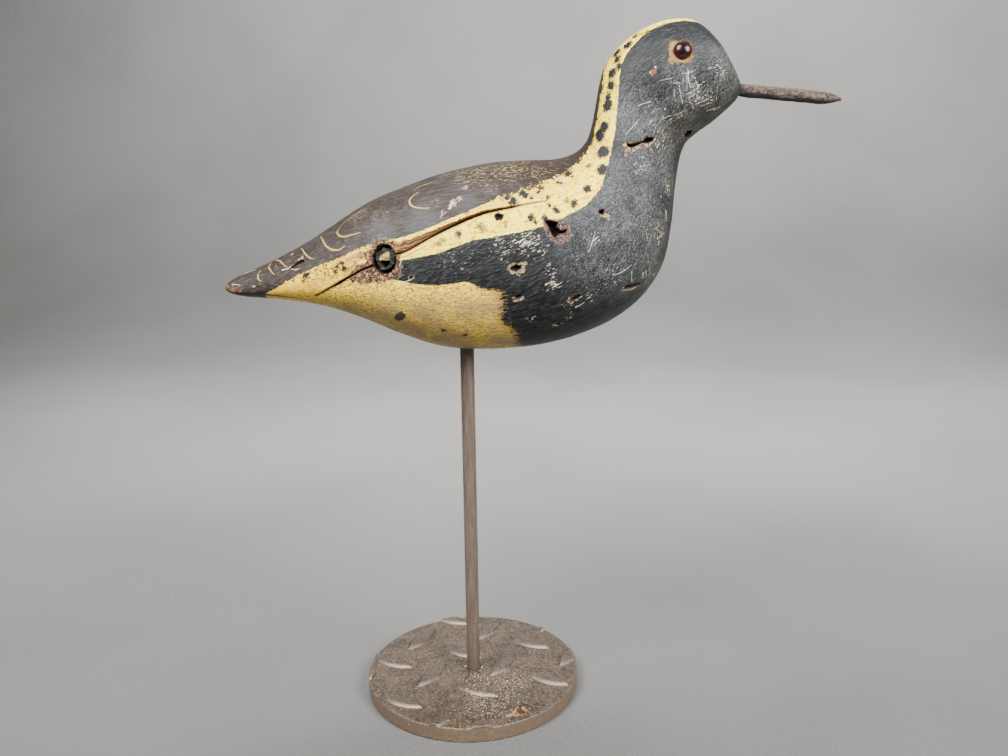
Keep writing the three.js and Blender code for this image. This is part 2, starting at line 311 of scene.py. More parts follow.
class NodeKit:
    """Adds nodes to one material."""

    def __init__(self, name: str) -> None:
        """Makes an empty node material.

        Args:
            name: The material's name.
        """
        self.material = bpy.data.materials.new(name)
        self.material.use_nodes = True
        self.tree = self.material.node_tree
        self.tree.nodes.clear()

    def node(self, kind: str, settings: Settings | None = None, inputs: Inputs | None = None) -> Node:
        """Adds a node.

        Args:
            kind: The node's type.
            settings: Its properties, set before its sockets are.
            inputs: Values or signals for its sockets, by name or number.

        Returns:
            The node.
        """
        node = self.tree.nodes.new(kind)
        for name, value in (settings or {}).items():
            setattr(node, name, value)
        for key, value in (inputs or {}).items():
            if isinstance(value, Signal):
                self.tree.links.new(value.socket, node.inputs[key])
            else:
                node.inputs[key].default_value = value
        return node

    def read(self, kind: str, settings: Settings | None = None, inputs: Inputs | None = None,
             output: str | int = 0) -> Signal:
        """Adds a node as node() does and gives one of its outputs."""
        return Signal(self, self.node(kind, settings, inputs).outputs[output])

    def math(self, operation: str, *values: Number) -> Signal:
        """Adds a Math node for one operation on numbers."""
        return self.read("ShaderNodeMath", {"operation": operation}, dict(enumerate(values)))

    def number(self, name: str) -> Signal:
        """Reads a number stored on the mesh."""
        return self.read("ShaderNodeAttribute", {"attribute_name": name}, output="Fac")

    def vector(self, name: str) -> Signal:
        """Reads a vector stored on the mesh."""
        return self.read("ShaderNodeAttribute", {"attribute_name": name}, output="Vector")

    def position(self) -> Signal:
        """Reads the object's own coordinates, in millimetres."""
        metres = self.read("ShaderNodeTexCoord", output="Object")
        return self.stretched(metres, 1 / MM, 1 / MM, 1 / MM)

    def stretched(self, vector: Signal, x: float, y: float = 1.0, z: float = 1.0) -> Signal:
        """Scales a vector's three numbers."""
        return self.read("ShaderNodeVectorMath", {"operation": "MULTIPLY"}, {0: vector, 1: (x, y, z)})

    def part(self, vector: Signal, axis: str) -> Signal:
        """Gives the number of a vector that belongs to an axis, X, Y or Z."""
        return self.read("ShaderNodeSeparateXYZ", {}, {0: vector}, output=axis)

    def leaned(self, vector: Signal, degrees: float) -> Signal:
        """Turns a vector about the sideways axis, so that its first number runs forward and up."""
        inputs = {"Vector": vector, "Angle": math.radians(degrees)}
        return self.read("ShaderNodeVectorRotate", {"rotation_type": "Y_AXIS"}, inputs)

    def length(self, vector: Signal) -> Signal:
        """Gives a vector's length."""
        return self.read("ShaderNodeVectorMath", {"operation": "LENGTH"}, {0: vector}, output="Value")

    def noise(self, vector: Signal, scale: float, detail: float = 2.0, roughness: float = 0.5) -> Signal:
        """Reads noise from 0 to 1, with scale lumps to each unit of the vector."""
        inputs = {"Vector": vector, "Scale": scale, "Detail": detail, "Roughness": roughness}
        return self.read("ShaderNodeTexNoise", {"noise_dimensions": "3D"}, inputs, output="Fac")

    def cells(self, vector: Signal, scale: float, randomness: float = 1.0) -> Signal:
        """Reads the distance to the nearest of scattered dots, with scale dots to each unit."""
        inputs = {"Vector": vector, "Scale": scale, "Randomness": randomness}
        return self.read("ShaderNodeTexVoronoi", {"feature": "F1"}, inputs, output="Distance")

    def mix(self, share: Number, first: Paint, second: Paint) -> Signal:
        """Mixes two colours: share 0 gives the first and 1 the second."""
        inputs = {0: share, 6: self.paint(first), 7: self.paint(second)}
        return self.read("ShaderNodeMix", {"data_type": "RGBA", "clamp_factor": True}, inputs, output=2)

    @staticmethod
    def paint(colour: Paint) -> Signal | tuple[float, float, float, float]:
        """Gives a colour the fourth number that a socket takes."""
        return colour if isinstance(colour, Signal) else (*colour, 1.0)

    def bump(self, height: Signal, distance: float, strength: float = 1.0) -> Signal:
        """Turns a height from 0 to 1 into a normal, for a full height in millimetres."""
        inputs = {"Height": height, "Distance": distance * MM, "Strength": strength}
        return self.read("ShaderNodeBump", {}, inputs)

    def surface(self, inputs: Inputs) -> Material:
        """Ends the material with a Principled shader.

        Args:
            inputs: Values or signals for the shader's sockets, by name.

        Returns:
            The finished material.
        """
        shader = self.node("ShaderNodeBsdfPrincipled", {}, inputs)
        output = self.node("ShaderNodeOutputMaterial")
        self.tree.links.new(shader.outputs["BSDF"], output.inputs["Surface"])
        return self.material


# The carved form


@dataclass(frozen=True)
class Station:
    """One slanted section through the wood.

    Back and belly are [along from the tail, up from the belly] in hundredths of the body's length, width is
    in hundredths of the body's width, and widest is a share of the section's height.
    """

    place: str
    back: Offset
    belly: Offset
    width: float
    widest: float


STATIONS = (
    Station("tail tip", (0.0, 12.2), (0.0, 12.1), 0.8, 0.40),
    Station("tail edge", (1.2, 13.3), (1.5, 11.2), 18, 0.38),
    Station("tail", (4.2, 15.0), (4.4, 10.5), 28, 0.36),
    Station("tail root", (9.3, 17.1), (9.3, 10.1), 39, 0.36),
    Station("vent", (15.5, 20.2), (15.3, 9.5), 53, 0.38),
    Station("rump", (22.1, 24.2), (21.7, 8.3), 67, 0.42),
    Station("hip", (29.0, 28.5), (28.3, 6.0), 79, 0.46),
    Station("lower back", (36.3, 31.5), (35.4, 2.9), 90, 0.48),
    Station("middle back", (44.2, 34.1), (43.4, 0.5), 97, 0.5),
    Station("belly", (52.2, 35.8), (52.2, 0.0), 100, 0.5),
    Station("shoulder", (59.3, 36.3), (61.5, 0.8), 100, 0.5),
    Station("low breast", (64.6, 36.4), (69.9, 3.0), 97, 0.5),
    Station("breast", (68.4, 37.5), (77.0, 6.3), 90, 0.5),
    Station("high breast", (70.8, 39.7), (82.4, 10.9), 81, 0.5),
    Station("neck root", (71.9, 42.9), (85.8, 16.7), 69, 0.5),
    Station("low neck", (72.5, 46.3), (87.2, 24.0), 60, 0.5),
    Station("neck", (73.1, 49.9), (87.8, 31.5), 52, 0.5),
    Station("throat", (74.2, 53.3), (89.0, 38.3), 50, 0.5),
    Station("nape", (76.6, 56.6), (91.4, 41.1), 52, 0.5),
    Station("cheek", (80.5, 59.5), (94.2, 43.0), 54, 0.5),
    Station("crown", (85.2, 61.2), (96.5, 45.0), 53, 0.5),
    Station("brow", (89.8, 61.2), (98.3, 46.7), 48, 0.5),
    Station("forehead", (93.4, 58.8), (99.0, 47.7), 38, 0.5),
    Station("bridge", (96.2, 55.1), (99.3, 48.3), 27, 0.5),
    Station("face", (98.3, 51.7), (99.5, 48.8), 14, 0.5),
    Station("bill root", (99.6, 49.6), (99.6, 49.3), 1.4, 0.5),
)


@dataclass(frozen=True)
class CarvedForm:
    """The bird's smooth skin, before any wear."""

    length: float = 226.0
    width: float = 72.0
    belly_height: float = 167.8
    rod_from_tail: float = 107.0
    roundness: float = 2.15
    stations: tuple[Station, ...] = STATIONS

    @property
    def last(self) -> int:
        """The number of the station at the face."""
        return len(self.stations) - 1

    def sections(self, station: Array) -> tuple[Array, Array, Array, Array]:
        """Reads sections through the wood.

        Args:
            station: Station numbers.

        Returns:
            The back, middle and belly points [x, z] of each, and its half width.
        """
        rows = np.array([(*s.back, *s.belly, s.width, s.widest) for s in self.stations])
        read = catmull_rom(rows, station)
        scale = self.length / 100
        start = np.array([-self.rod_from_tail, self.belly_height])
        back = read[:, 0:2] * scale + start
        belly = read[:, 2:4] * scale + start
        middle = belly + (back - belly) * read[:, 5:6]
        return back, middle, belly, read[:, 4] * self.width / 200

    def rounded(self, value: Array) -> Array:
        """Bends a sine or cosine so that sections come out a little square."""
        return np.sign(value) * np.abs(value) ** (2 / self.roundness)

    def skin(self, station: Array, turn: Array) -> Array:
        """Gives points of the skin.

        Args:
            station: Station numbers.
            turn: Turns in degrees.

        Returns:
            One point in a row.
        """
        back, middle, belly, half = self.sections(station)
        angle = np.radians(turn)
        rise = self.rounded(np.sin(angle))[:, None]
        flat = middle + np.where(rise > 0, back - middle, middle - belly) * rise
        closing = np.where((station <= 0) | (station >= self.last), 0.0, 1.0)
        flat = middle + (flat - middle) * closing[:, None]
        return np.column_stack([flat[:, 0], -half * closing * self.rounded(np.cos(angle)), flat[:, 1]])

    def outward(self, station: Array, turn: Array) -> Array:
        """Gives the skin's outward directions.

        Args:
            station: Station numbers.
            turn: Turns in degrees.

        Returns:
            One direction in a row.
        """
        low = np.clip(station - 0.02, 0.001, self.last - 0.001)
        high = np.clip(station + 0.02, 0.001, self.last - 0.001)
        forward = self.skin(high, turn) - self.skin(low, turn)
        inner = np.clip(station, 0.05, self.last - 0.05)
        around = self.skin(inner, turn + 0.5) - self.skin(inner, turn - 0.5)
        across = np.cross(forward, around)
        return across / np.maximum(lengths(across), 1e-9)[:, None]

    def path(self, places: Sequence[Place], steps: int = 6) -> Array:
        """Gives a smooth path over the skin through places."""
        line = smooth_path(places, steps)
        return self.skin(line[:, 0], line[:, 1])

    def at(self, place: Place) -> tuple[Array, Array]:
        """Gives one place's point and outward direction."""
        station, turn = np.array([place[0]]), np.array([place[1]])
        return self.skin(station, turn)[0], self.outward(station, turn)[0]


@dataclass
class SkinPoints:
    """The points of the body's mesh: their places, and where the smooth form puts them."""

    form: CarvedForm
    station: Array
    turn: Array
    flat_reach: float = 24.0
    point: Array = field(init=False)
    outward: Array = field(init=False)

    def __post_init__(self) -> None:
        """Works out the points."""
        self.point = self.form.skin(self.station, self.turn)
        self.outward = self.form.outward(self.station, self.turn)

    def folded(self) -> tuple[Array, Array]:
        """Folds the left side onto the right, for marks that both have.

        Returns:
            The folded places and the folded points.
        """
        turn = np.where(self.turn > 90, 180 - self.turn, self.turn)
        turn = np.where(turn < -90, -180 - turn, turn)
        point = self.point.copy()
        point[:, 1] = -np.abs(point[:, 1])
        return np.column_stack([self.station, turn]), point

    def flat_around(self, place: Place) -> tuple[Array, Array]:
        """Lays the skin near a place flat.

        Args:
            place: The place.

        Returns:
            Each point's offset forward and up from it, and a mask of the points near it.
        """
        centre, outward = self.form.at(place)
        forward = np.array([1.0, 0.0, 0.0]) - outward * outward[0]
        forward /= np.linalg.norm(forward)
        up = np.cross(forward, outward)
        up *= np.sign(up[2])
        gap = self.point - centre
        near = (lengths(gap) < self.flat_reach) & (self.outward @ outward > 0.2)
        return np.column_stack([gap @ forward, gap @ up]), near


# Wear and breaks in the wood


@dataclass(frozen=True)
class Chip:
    """A chip through the paint, with a hole in the wood.

    Outlines are offsets [forward, up] in millimetres from a place on the skin.
    """

    name: str
    place: Place
    bare: Outline
    hole: Outline = ()
    deep: float = 1.5
    brown: float = 0.25


def oval(long: float, high: float, lean: float = 0.0, at: Offset = (0.0, 0.0), seed: int = 0) -> Outline:
    """Draws a ragged oval.

    Args:
        long: Its length.
        high: Its height.
        lean: Its turn in degrees, front end up.
        at: Its middle.
        seed: Which of many ragged edges it has.

    Returns:
        The outline's corners.
    """
    dice = np.random.default_rng(seed)
    turn = np.linspace(0, 2 * math.pi, 14, endpoint=False)
    reach = dice.uniform(0.72, 1.18, len(turn))
    flat = np.column_stack([np.cos(turn) * long / 2, np.sin(turn) * high / 2]) * reach[:, None]
    lean_by = math.radians(lean)
    spin = np.array([[math.cos(lean_by), math.sin(lean_by)], [-math.sin(lean_by), math.cos(lean_by)]])
    return tuple(map(tuple, flat @ spin + np.array(at)))


BREAST_HOLE = Chip(
    "breast hole",
    (10.74, 16),
    bare=((-6.2, 6.1), (-4.6, 5.6), (-2.6, 4.1), (0.4, 3.6), (3.3, 3.1), (5.3, 1.1), (6.2, -2.0), (4.8, -4.4),
          (2.3, -6.1), (-0.2, -5.8), (-3.0, -4.1), (-4.5, -1.4), (-5.4, 1.5), (-6.2, 4.0)),
    hole=((-5.1, 3.5), (-2.7, 3.6), (0.4, 2.8), (-0.1, 1.0), (1.6, -0.5), (4.4, 0.3), (3.4, -1.4),
          (0.6, -2.1), (-0.7, -3.6), (-2.2, -2.0), (-3.4, 1.0)),
    deep=4.0,
    brown=1.0,
)
NECK_NICK = Chip(
    "neck nick",
    (15.62, 3),
    bare=((-6.2, -0.5), (-5.2, 0.0), (0.5, 0.8), (2.4, 2.1), (5.3, 2.7), (7.1, 2.2), (6.7, 1.0), (4.6, -0.6),
          (0.5, -1.9), (-1.4, -2.9), (-3.0, -4.0), (-4.3, -3.4), (-5.2, -5.4), (-6.1, -5.3), (-5.5, -2.9)),
    hole=((-5.0, -0.1), (-3.5, -0.3), (-1.4, 0.1), (0.2, 0.5), (1.3, 1.0), (1.9, 1.2), (3.4, 2.4), (6.4, 2.5),
          (6.5, 1.3), (4.5, 0.3), (2.2, 0.3), (1.1, -0.1), (-0.8, -1.1), (-2.0, -1.5), (-3.1, -1.9),
          (-4.5, -1.4)),
    deep=3.0,
    brown=0.1,
)
STAR_CHIP = Chip(
    "star chip",
    (9.64, -2),
    bare=((-3.6, -0.1), (-2.6, 1.8), (-0.4, 2.4), (2.1, 2.4), (4.4, 3.4), (4.7, 2.1), (3.4, 0.8), (4.1, -0.8),
          (2.1, -2.0), (1.0, -3.5), (0.1, -1.7), (-1.7, -2.0), (-2.6, -0.8)),
    hole=oval(4.4, 2.7, 12, (-0.1, 0.3), 1),
    deep=2.0,
)
TAIL_CHIP = Chip(
    "tail chip",
    (4.16, 31),
    bare=((-0.7, 1.3), (1.1, 3.2), (2.6, 3.3), (3.0, 1.8), (4.6, 0.4), (3.7, -0.1), (1.0, -0.4), (-1.0, -0.9),
          (-2.5, -1.4), (-4.3, -1.5), (-4.0, -0.6)),
    hole=((-4.0, -1.2), (-0.6, 1.2), (1.4, 2.0), (3.0, 1.5), (3.9, 0.2), (0.7, -0.3), (-2.2, -1.4)),
    deep=1.6,
    brown=0.0,
)
CHIPS = (
    BREAST_HOLE,
    NECK_NICK,
    STAR_CHIP,
    Chip("shoulder pit", (12.41, 14), oval(5.6, 2.4, -30, (0.9, -0.9), 2),
         oval(2.9, 2.2, 0, (-0.6, 0.4), 3), 2.0),
    Chip("flank pit", (9.65, -18), oval(5.0, 2.7, 8, (0.0, -0.5), 4), oval(2.9, 1.8, 15, (0, 0.3), 5), 1.6),
    Chip("lower breast pit", (10.96, -26), oval(6.2, 3.0, 20, (-0.3, -0.2), 6),
         oval(4.8, 2.0, 20, (0.1, 0.1), 7), 1.6),
    Chip("low pit", (10.78, -40), oval(4.0, 1.8, 20, (0, 0), 8), oval(2.6, 0.9, 18, (0, 0), 9), 1.0),
    Chip("lowest pit", (10.49, -44), oval(4.6, 2.2, 10, (-0.5, -0.2), 10),
         oval(2.6, 1.5, 0, (0.2, 0), 11), 1.2),
    Chip("breast gouge", (12.61, -43), oval(9.4, 3.0, -12, (-0.6, -0.3), 12),
         oval(8.6, 2.2, -12, (0, 0.2), 13), 1.8, 0.5),
    Chip("throat notch", (17.5, -62), oval(4.4, 5.4, 0, (-0.3, 0), 14),
         oval(3.8, 4.8, 0, (0.2, 0), 15), 1.4, 1.0),
    TAIL_CHIP,
    Chip("split notch", (9.30, 27), oval(3.9, 3.4, 0, (0, -0.2), 18),
         oval(3.5, 3.0, 0, (0, -0.1), 19), 1.5, 1.0),
    Chip("knot's neighbour", (7.36, -3), oval(3.0, 2.0, 30, (0, 0), 20), oval(1.9, 1.2, 30, (0, 0), 21), 1.0),
)


@dataclass(frozen=True)
class Knot:
    """A knot whose core has broken in its hole."""

    place: Place = (6.70, 9)
    long: float = 10.6
    high: float = 12.5
    deep: float = 5.0
    core: Outline = oval(9.6, 11.4, 0, (0.35, -0.3), 33)
    core_sunk: float = 1.0
    pale: Outline = (
        (-2.0, -0.9), (-2.4, 0.4), (-1.3, 1.6), (-0.5, 2.6), (0.5, 3.3), (1.7, 3.0), (2.3, 2.2), (2.2, 0.8),
        (2.3, -0.4), (0.9, -0.8), (-0.6, -0.7),
    )
    void: Outline = (
        (-2.5, -1.0), (-1.4, -2.3), (-0.6, -3.3), (0.4, -3.7), (1.0, -2.6), (2.4, -1.6), (2.1, -0.7),
        (-0.6, -0.7),
    )
    bare: Outline = (
        (-11.9, -3.0), (-7.6, -1.3), (-8.6, 2.8), (-5.7, 5.0), (-4.2, 6.6), (-1.0, 7.4), (2.8, 6.9),
        (7.2, 5.9), (9.6, 6.8), (9.0, 4.6), (6.9, 2.4), (6.4, -1.4), (6.0, -5.6), (3.9, -7.8), (-0.9, -9.4),
        (-5.4, -9.0), (-9.5, -9.8), (-14.1, -8.6), (-16.0, -7.2), (-14.6, -5.3),
    )

    def depth(self, skin: SkinPoints) -> tuple[Array, Array]:
        """Works out the knot at each point.

        Args:
            skin: The body's points.

        Returns:
            How deep it lies, and how far inside its rim the point is.
        """
        flat, near = skin.flat_around(self.place)
        rim = np.full(len(flat), OUTSIDE)
        share = np.hypot(flat[:, 0] / (self.long / 2), flat[:, 1] / (self.high / 2))
        rim[near] = (1 - share[near]) * self.high / 2
        sunk = self.deep * smooth_step(0.0, 0.6, rim)
        inside = rim > -0.5
        local = flat[inside]
        core = depth_inside(local, np.array(self.core))
        gap = depth_inside(local, np.array(self.void))
        pale = depth_inside(local, np.array(self.pale))
        rough = lumps(skin.point[inside], 2.2, 31) * 0.9 + lumps(skin.point[inside], 0.9, 32) * 0.4
        level = self.core_sunk + rough - 0.5 * smooth_step(-0.3, 0.4, pale)
        level = level + 2.4 * smooth_step(-0.2, 0.5, gap)
        raised = (self.deep - level) * smooth_step(-0.5, 0.3, core)
        sunk[inside] = np.maximum(sunk[inside] - raised, 0)
        return sunk, rim


@dataclass(frozen=True)
class Split:
    """The long split through the knot, with a bevel of torn wood on its upper lip."""

    line: Line = (
        (4.71, -26.4), (4.94, -20.0), (5.16, -13.4), (5.43, -7.9), (5.69, -3.2), (5.94, 0.1), (6.18, 2.8),
        (6.44, 5.1), (6.70, 9.0), (6.98, 11.6), (7.14, 12.2), (7.38, 14.4), (7.73, 18.6), (8.08, 22.4),
        (8.49, 26.4), (8.93, 29.8), (9.29, 31.3), (9.62, 32.4), (9.77, 33.0), (10.02, 33.8), (10.28, 34.4),
        (10.53, 34.8),
    )
    half_widths: Outline = (
        (0.0, 0.06), (0.05, 0.14), (0.1, 0.2), (0.16, 0.38), (0.2, 0.28), (0.3, 0.32), (0.36, 0.32),
        (0.43, 0.24), (0.52, 0.28), (0.57, 0.34), (0.62, 0.46), (0.667, 0.52), (0.714, 0.46), (0.762, 0.38),
        (0.81, 0.3), (0.857, 0.15), (0.89, -0.2), (1.0, -0.2),
    )
    bevels: Outline = (
        (0.40, 0.0), (0.44, 3.7), (0.476, 4.0), (0.524, 3.3), (0.571, 2.2), (0.619, 1.3), (0.667, 0.8),
        (0.714, 0.55), (0.762, 0.35), (0.81, 0.15), (0.84, 0.0),
    )
    deep: float = 5.0
    bevel_deep: float = 1.2
    away_on_left: float = 50.0

    def depth(self, skin: SkinPoints) -> "SplitLay":
        """Works out the split at each point.

        Args:
            skin: The body's points.

        Returns:
            The split's lay over them.
        """
        path = skin.form.path(self.line)
        gap, share = nearest_on_path(skin.point, path)
        away = np.where(skin.point[:, 1] < 0, lengths(gap), self.away_on_left)
        wobble = lumps(skin.point, 3.0, 41) * 0.2
        half = np.interp(share, *np.array(self.half_widths).T) * (1 + wobble)
        line = half - away
        sunk = self.deep * smooth_step(-0.1, 0.4, line) * smooth_step(0.0, 0.3, half)
        reach = np.interp(share, *np.array(self.bevels).T) * (1 + wobble * 1.5)
        bevel = np.where(gap[:, 2] > 0, reach + half - away, -away)
        slope = np.clip(bevel / np.maximum(reach, 0.4), 0, 1)
        torn = lumps(np.column_stack([share * 30, slope * 3, np.zeros(len(share))]), 1.0, 42) * 0.22
        sloped = self.bevel_deep * slope**1.3 + torn * smooth_step(0.2, 0.8, bevel)
        sunk = np.maximum(sunk, np.where(bevel > 0, np.maximum(sloped, 0), 0))
        grain = np.column_stack([share * 75, np.clip(bevel, -3, 6), slope])
        return SplitLay(sunk, line, bevel, grain)


@dataclass(frozen=True)
class SplitLay:
    """The split at each point: its depth, the distance inside its dark line and its bevel, and the grain."""

    sunk: Array
    line: Array
    bevel: Array
    grain: Array


@dataclass(frozen=True)
class PaintBorder:
    """The edge between two paints, and corners that close the area on its far side."""

    edge: Line
    corners: Line

    def depth(self, form: CarvedForm, places: Array, points: Array) -> Array:
        """Measures points against the area.

        Args:
            form: The bird's skin.
            places: The points' places, one in a row.
            points: The points, one in a row.

        Returns:
            Each point's distance inside the area, in millimetres, negative outside it.
        """
        line = smooth_path(self.edge)
        path = form.skin(np.clip(line[:, 0], 0.01, form.last - 0.01), np.clip(line[:, 1], -90, 90))
        gap, _ = nearest_on_path(points, path)
        area = np.vstack([line, np.array(self.corners, float)])
        return lengths(gap) * np.where(is_inside(places, area), 1.0, -1.0)


BACK_PAINT = PaintBorder(
    edge=((2.9, -95), (3.0, -50), (3.11, -16), (3.82, 7), (4.5, 15), (5.53, 17), (6.39, 21), (7.26, 23),
          (7.94, 27), (8.78, 34), (9.1, 37), (9.38, 39.5), (9.7, 41.5), (9.93, 43.7), (10.31, 47.1),
          (10.77, 52), (11.2, 55), (11.75, 60), (12.32, 64), (12.9, 68), (13.4, 67.5), (14.1, 70.5),
          (14.62, 71), (15.15, 73), (15.6, 71.5), (16.03, 72), (16.44, 76), (16.93, 83), (17.6, 85),
          (18.5, 86), (20, 86), (22, 87), (23, 95)),
    corners=((23, 110), (-1, 110), (-1, -110), (2.9, -110)),
)
FRONT_PAINT = PaintBorder(
    edge=((9.7, -95), (9.61, -65), (9.51, -45), (9.32, -35), (9.30, -30), (9.31, -21), (9.24, -14),
          (8.89, -11), (8.58, -7), (8.21, -8), (7.66, -8), (7.09, -5), (6.91, -4), (6.80, 0), (6.85, 5),
          (7.06, 7), (7.95, 9), (8.68, 14), (9.12, 15), (10.41, 19), (11.13, 23), (11.81, 25), (12.64, 29),
          (13.11, 32), (13.66, 34), (14.37, 35), (14.97, 34), (15.79, 35), (16.39, 38), (16.94, 43),
          (17.48, 49), (17.88, 54), (18.36, 57), (18.74, 60), (19.09, 61.5), (19.42, 62.5), (19.73, 63.5),
          (20.0, 64), (20.4, 63.5), (20.8, 63), (21.15, 65), (21.4, 72), (21.6, 95)),
    corners=((21.6, 110), (27, 110), (27, -110), (9.7, -110)),
)
BELLY_PAINT = PaintBorder(
    edge=((2.5, -60), (4.0, -33), (4.71, -21), (5.23, -3), (5.64, 0), (6.01, 4), (6.42, 6), (6.70, 9),
          (7.5, 8), (10, 0)),
    corners=((10, -110), (2.5, -110)),
)
PAINT_BORDERS = {"back_paint": BACK_PAINT, "front_paint": FRONT_PAINT, "belly_paint": BELLY_PAINT}


class Mark(Enum):
    """Thin marks drawn over the paint: the name of each kind's vector on the mesh."""

    FEATHER = "feather_mark"
    SCRATCH = "scratch_mark"
    STAIN = "stain_mark"
    GRIME = "dark_paint_and_shade_mark"


@dataclass(frozen=True)
class Stroke:
    """One thin mark through places on the skin."""

    places: Line
    half_width: float = 0.45


FEATHER_STROKES = (
    Stroke(((2.85, 52), (2.78, 42), (2.82, 26), (2.96, 17)), 0.34),
    Stroke(((3.16, 69), (3.14, 53), (3.27, 37), (3.43, 25)), 0.34),
    Stroke(((3.25, 74), (3.46, 60), (3.65, 44), (3.85, 30)), 0.34),
    Stroke(((4.16, 63.9), (4.34, 46.3), (4.52, 33.7), (4.69, 27.8)), 0.38),
    Stroke(((4.77, 62.8), (4.95, 45.0), (5.1, 34.7), (5.29, 27.9), (5.47, 25.5), (5.63, 26.8)), 0.47),
    Stroke(((5.37, 55.8), (5.32, 50.2), (5.4, 43.8), (5.55, 38.3), (5.77, 36.0), (6.04, 34.3)), 0.42),
    Stroke(((6.1, 64.5), (5.82, 63.9), (5.54, 61.2), (5.37, 55.8)), 0.17),
    Stroke(((7.45, 60.3), (7.32, 57.4), (7.25, 53.8), (7.26, 49.8), (7.32, 46.5), (7.43, 43.8), (7.59, 41.4),
            (7.74, 40.4)), 0.47),
    Stroke(((7.29, 66.2), (7.47, 68.1), (7.65, 68.3), (7.83, 69.1)), 0.24),
)
SCRATCH_LINES = (
    (0.24, ((11.97, 8), (11.73, 2), (11.53, -2))),
    (0.22, ((16.61, 11.1), (16.93, 4.5), (17.17, -0.3))),
    (0.18, ((15.35, 19), (15.92, 11), (16.33, 6))),
    (0.25, ((16.54, -4.8), (16.78, -8.3))),
    (0.16, ((16.92, -16.1), (17.45, -23.8))),
    (0.22, ((12.13, -23), (12.45, -25), (12.81, -26.5))),
    (0.3, ((12.78, -30), (12.7, -34))),
    (0.2, ((12.7, -34), (12.65, -39.8))),
    (0.6, ((1.9, 70), (2.28, 71), (2.62, 69))),
    (0.26, ((5.84, -4), (6.21, -9.3), (6.58, -7.6), (6.93, -6.4), (7.27, -5.3), (7.46, -2.9), (7.43, -1.8))),
    (0.2, ((7.1, 10.6), (7.14, 8.3), (7.11, 4.9), (7.02, 1.4), (6.9, -0.6))),
    (0.36, ((3.63, 28.0), (3.69, 30.6), (3.85, 28.2), (3.91, 30.5))),
    (0.34, ((3.98, 25.6), (4.11, 22.5), (4.25, 21.6))),
    (0.4, ((3.87, 57.5), (3.92, 59.5))),
    (0.5, ((2.62, 8.7), (2.72, 8.3))),
    (0.2, ((1.36, 34.7), (1.79, 24.0), (2.12, 15.8))),
    (0.55, ((15.07, -45.4), (14.95, -49.4), (14.8, -50.4))),
    (0.5, ((13.53, -62), (13.42, -60))),
    (0.3, ((10.85, 55), (11.0, 50), (11.25, 47), (11.2, 51), (10.95, 56))),
    (0.35, ((15.2, -31.8), (15.1, -34.6))),
    (0.14, ((3.52, -8.6), (4.07, -9.4), (4.54, -9.4), (4.95, -9.1))),
    (0.13, ((18.32, -6.1), (17.99, -16.4))),
    (0.17, ((18.61, -5.6), (18.43, -11.8), (18.18, -23.6))),
    (0.14, ((19.1, -1.9), (18.89, -8.5), (18.73, -13.9))),
    (0.3, ((19.29, 0.7), (19.08, -5.1), (18.96, -9.4))),
    (0.22, ((18.95, 0.8), (19.21, -1.6), (19.54, -2.9))),
    (0.24, ((19.06, -7.1), (18.89, -14.3))),
    (0.18, ((19.07, -11.0), (19.0, -16.5))),
    (0.16, ((18.6, -20.0), (18.47, -28.2))),
    (0.16, ((18.54, -27.9), (18.46, -34.4))),
    (0.26, ((19.26, -11.2), (19.19, -19.3))),
    (0.16, ((20.06, -28.1), (19.85, -35.5))),
    (0.12, ((19.77, -37.6), (19.63, -43.9))),
    (0.18, ((19.26, -3.9), (19.3, -9.9))),
    (0.15, ((18.96, -2.3), (18.75, -6.5))),
    (0.14, ((18.04, 6.7), (18.55, 1.1))),
    (0.2, ((18.54, -17.0), (19.09, -18.5))),
    (0.2, ((18.55, -21.4), (18.88, -22.3))),
    (0.15, ((18.59, -26.1), (19.13, -29.1))),
    (0.17, ((18.57, -31.2), (19.49, -35.8))),
    (0.15, ((18.79, -37.3), (19.37, -41.2))),
    (0.17, ((18.92, -46.7), (19.72, -56.5))),
    (0.15, ((17.55, -31.4), (17.92, -33.6))),
    (0.13, ((17.52, -26.1), (18.2, -31.2))),
    (0.2, ((20.03, -7.3), (20.33, -6.7))),
    (0.17, ((18.43, -2.4), (18.71, -4.6))),
    (0.3, ((19.21, -15.6), (19.4, -17.1))),
    (0.28, ((19.25, -52.0), (19.49, -53.6))),
    (0.16, ((20.55, -7.4), (20.71, -9.2))),
    (0.24, ((19.01, -18.0), (19.26, -17.9))),
    (0.34, ((19.53, -15.2), (19.55, -16.9))),
    (0.34, ((20.73, -14.3), (20.8, -16.1))),
    (0.28, ((20.01, -22.1), (20.06, -23.5))),
    (0.28, ((18.95, -26.3), (19.0, -27.8))),
    (0.24, ((19.45, -34.6), (19.52, -34.6))),
    (0.22, ((20.59, -23.9), (20.65, -25.9))),
    (0.24, ((18.4, 22.7), (18.44, 22.3))),
)
SCRATCH_HALF_WIDTH = 0.8  # Share of the width given with each line
SCRATCH_STROKES = tuple(Stroke(places, width * SCRATCH_HALF_WIDTH) for width, places in SCRATCH_LINES)
STAIN_STROKES = (
    Stroke(((9.70, 32.8), (9.77, 33.0), (10.02, 33.8), (10.28, 34.4), (10.53, 34.8)), 0.5),
    Stroke(((6.98, 8.8), (7.23, 9.6), (7.45, 11.6), (7.66, 14.2)), 0.32),
    Stroke(((5.7, 12.5), (5.95, 13.5), (6.2, 14.5)), 1.1),
    Stroke(((5.85, 6.5), (6.05, 5.0)), 0.8),
)
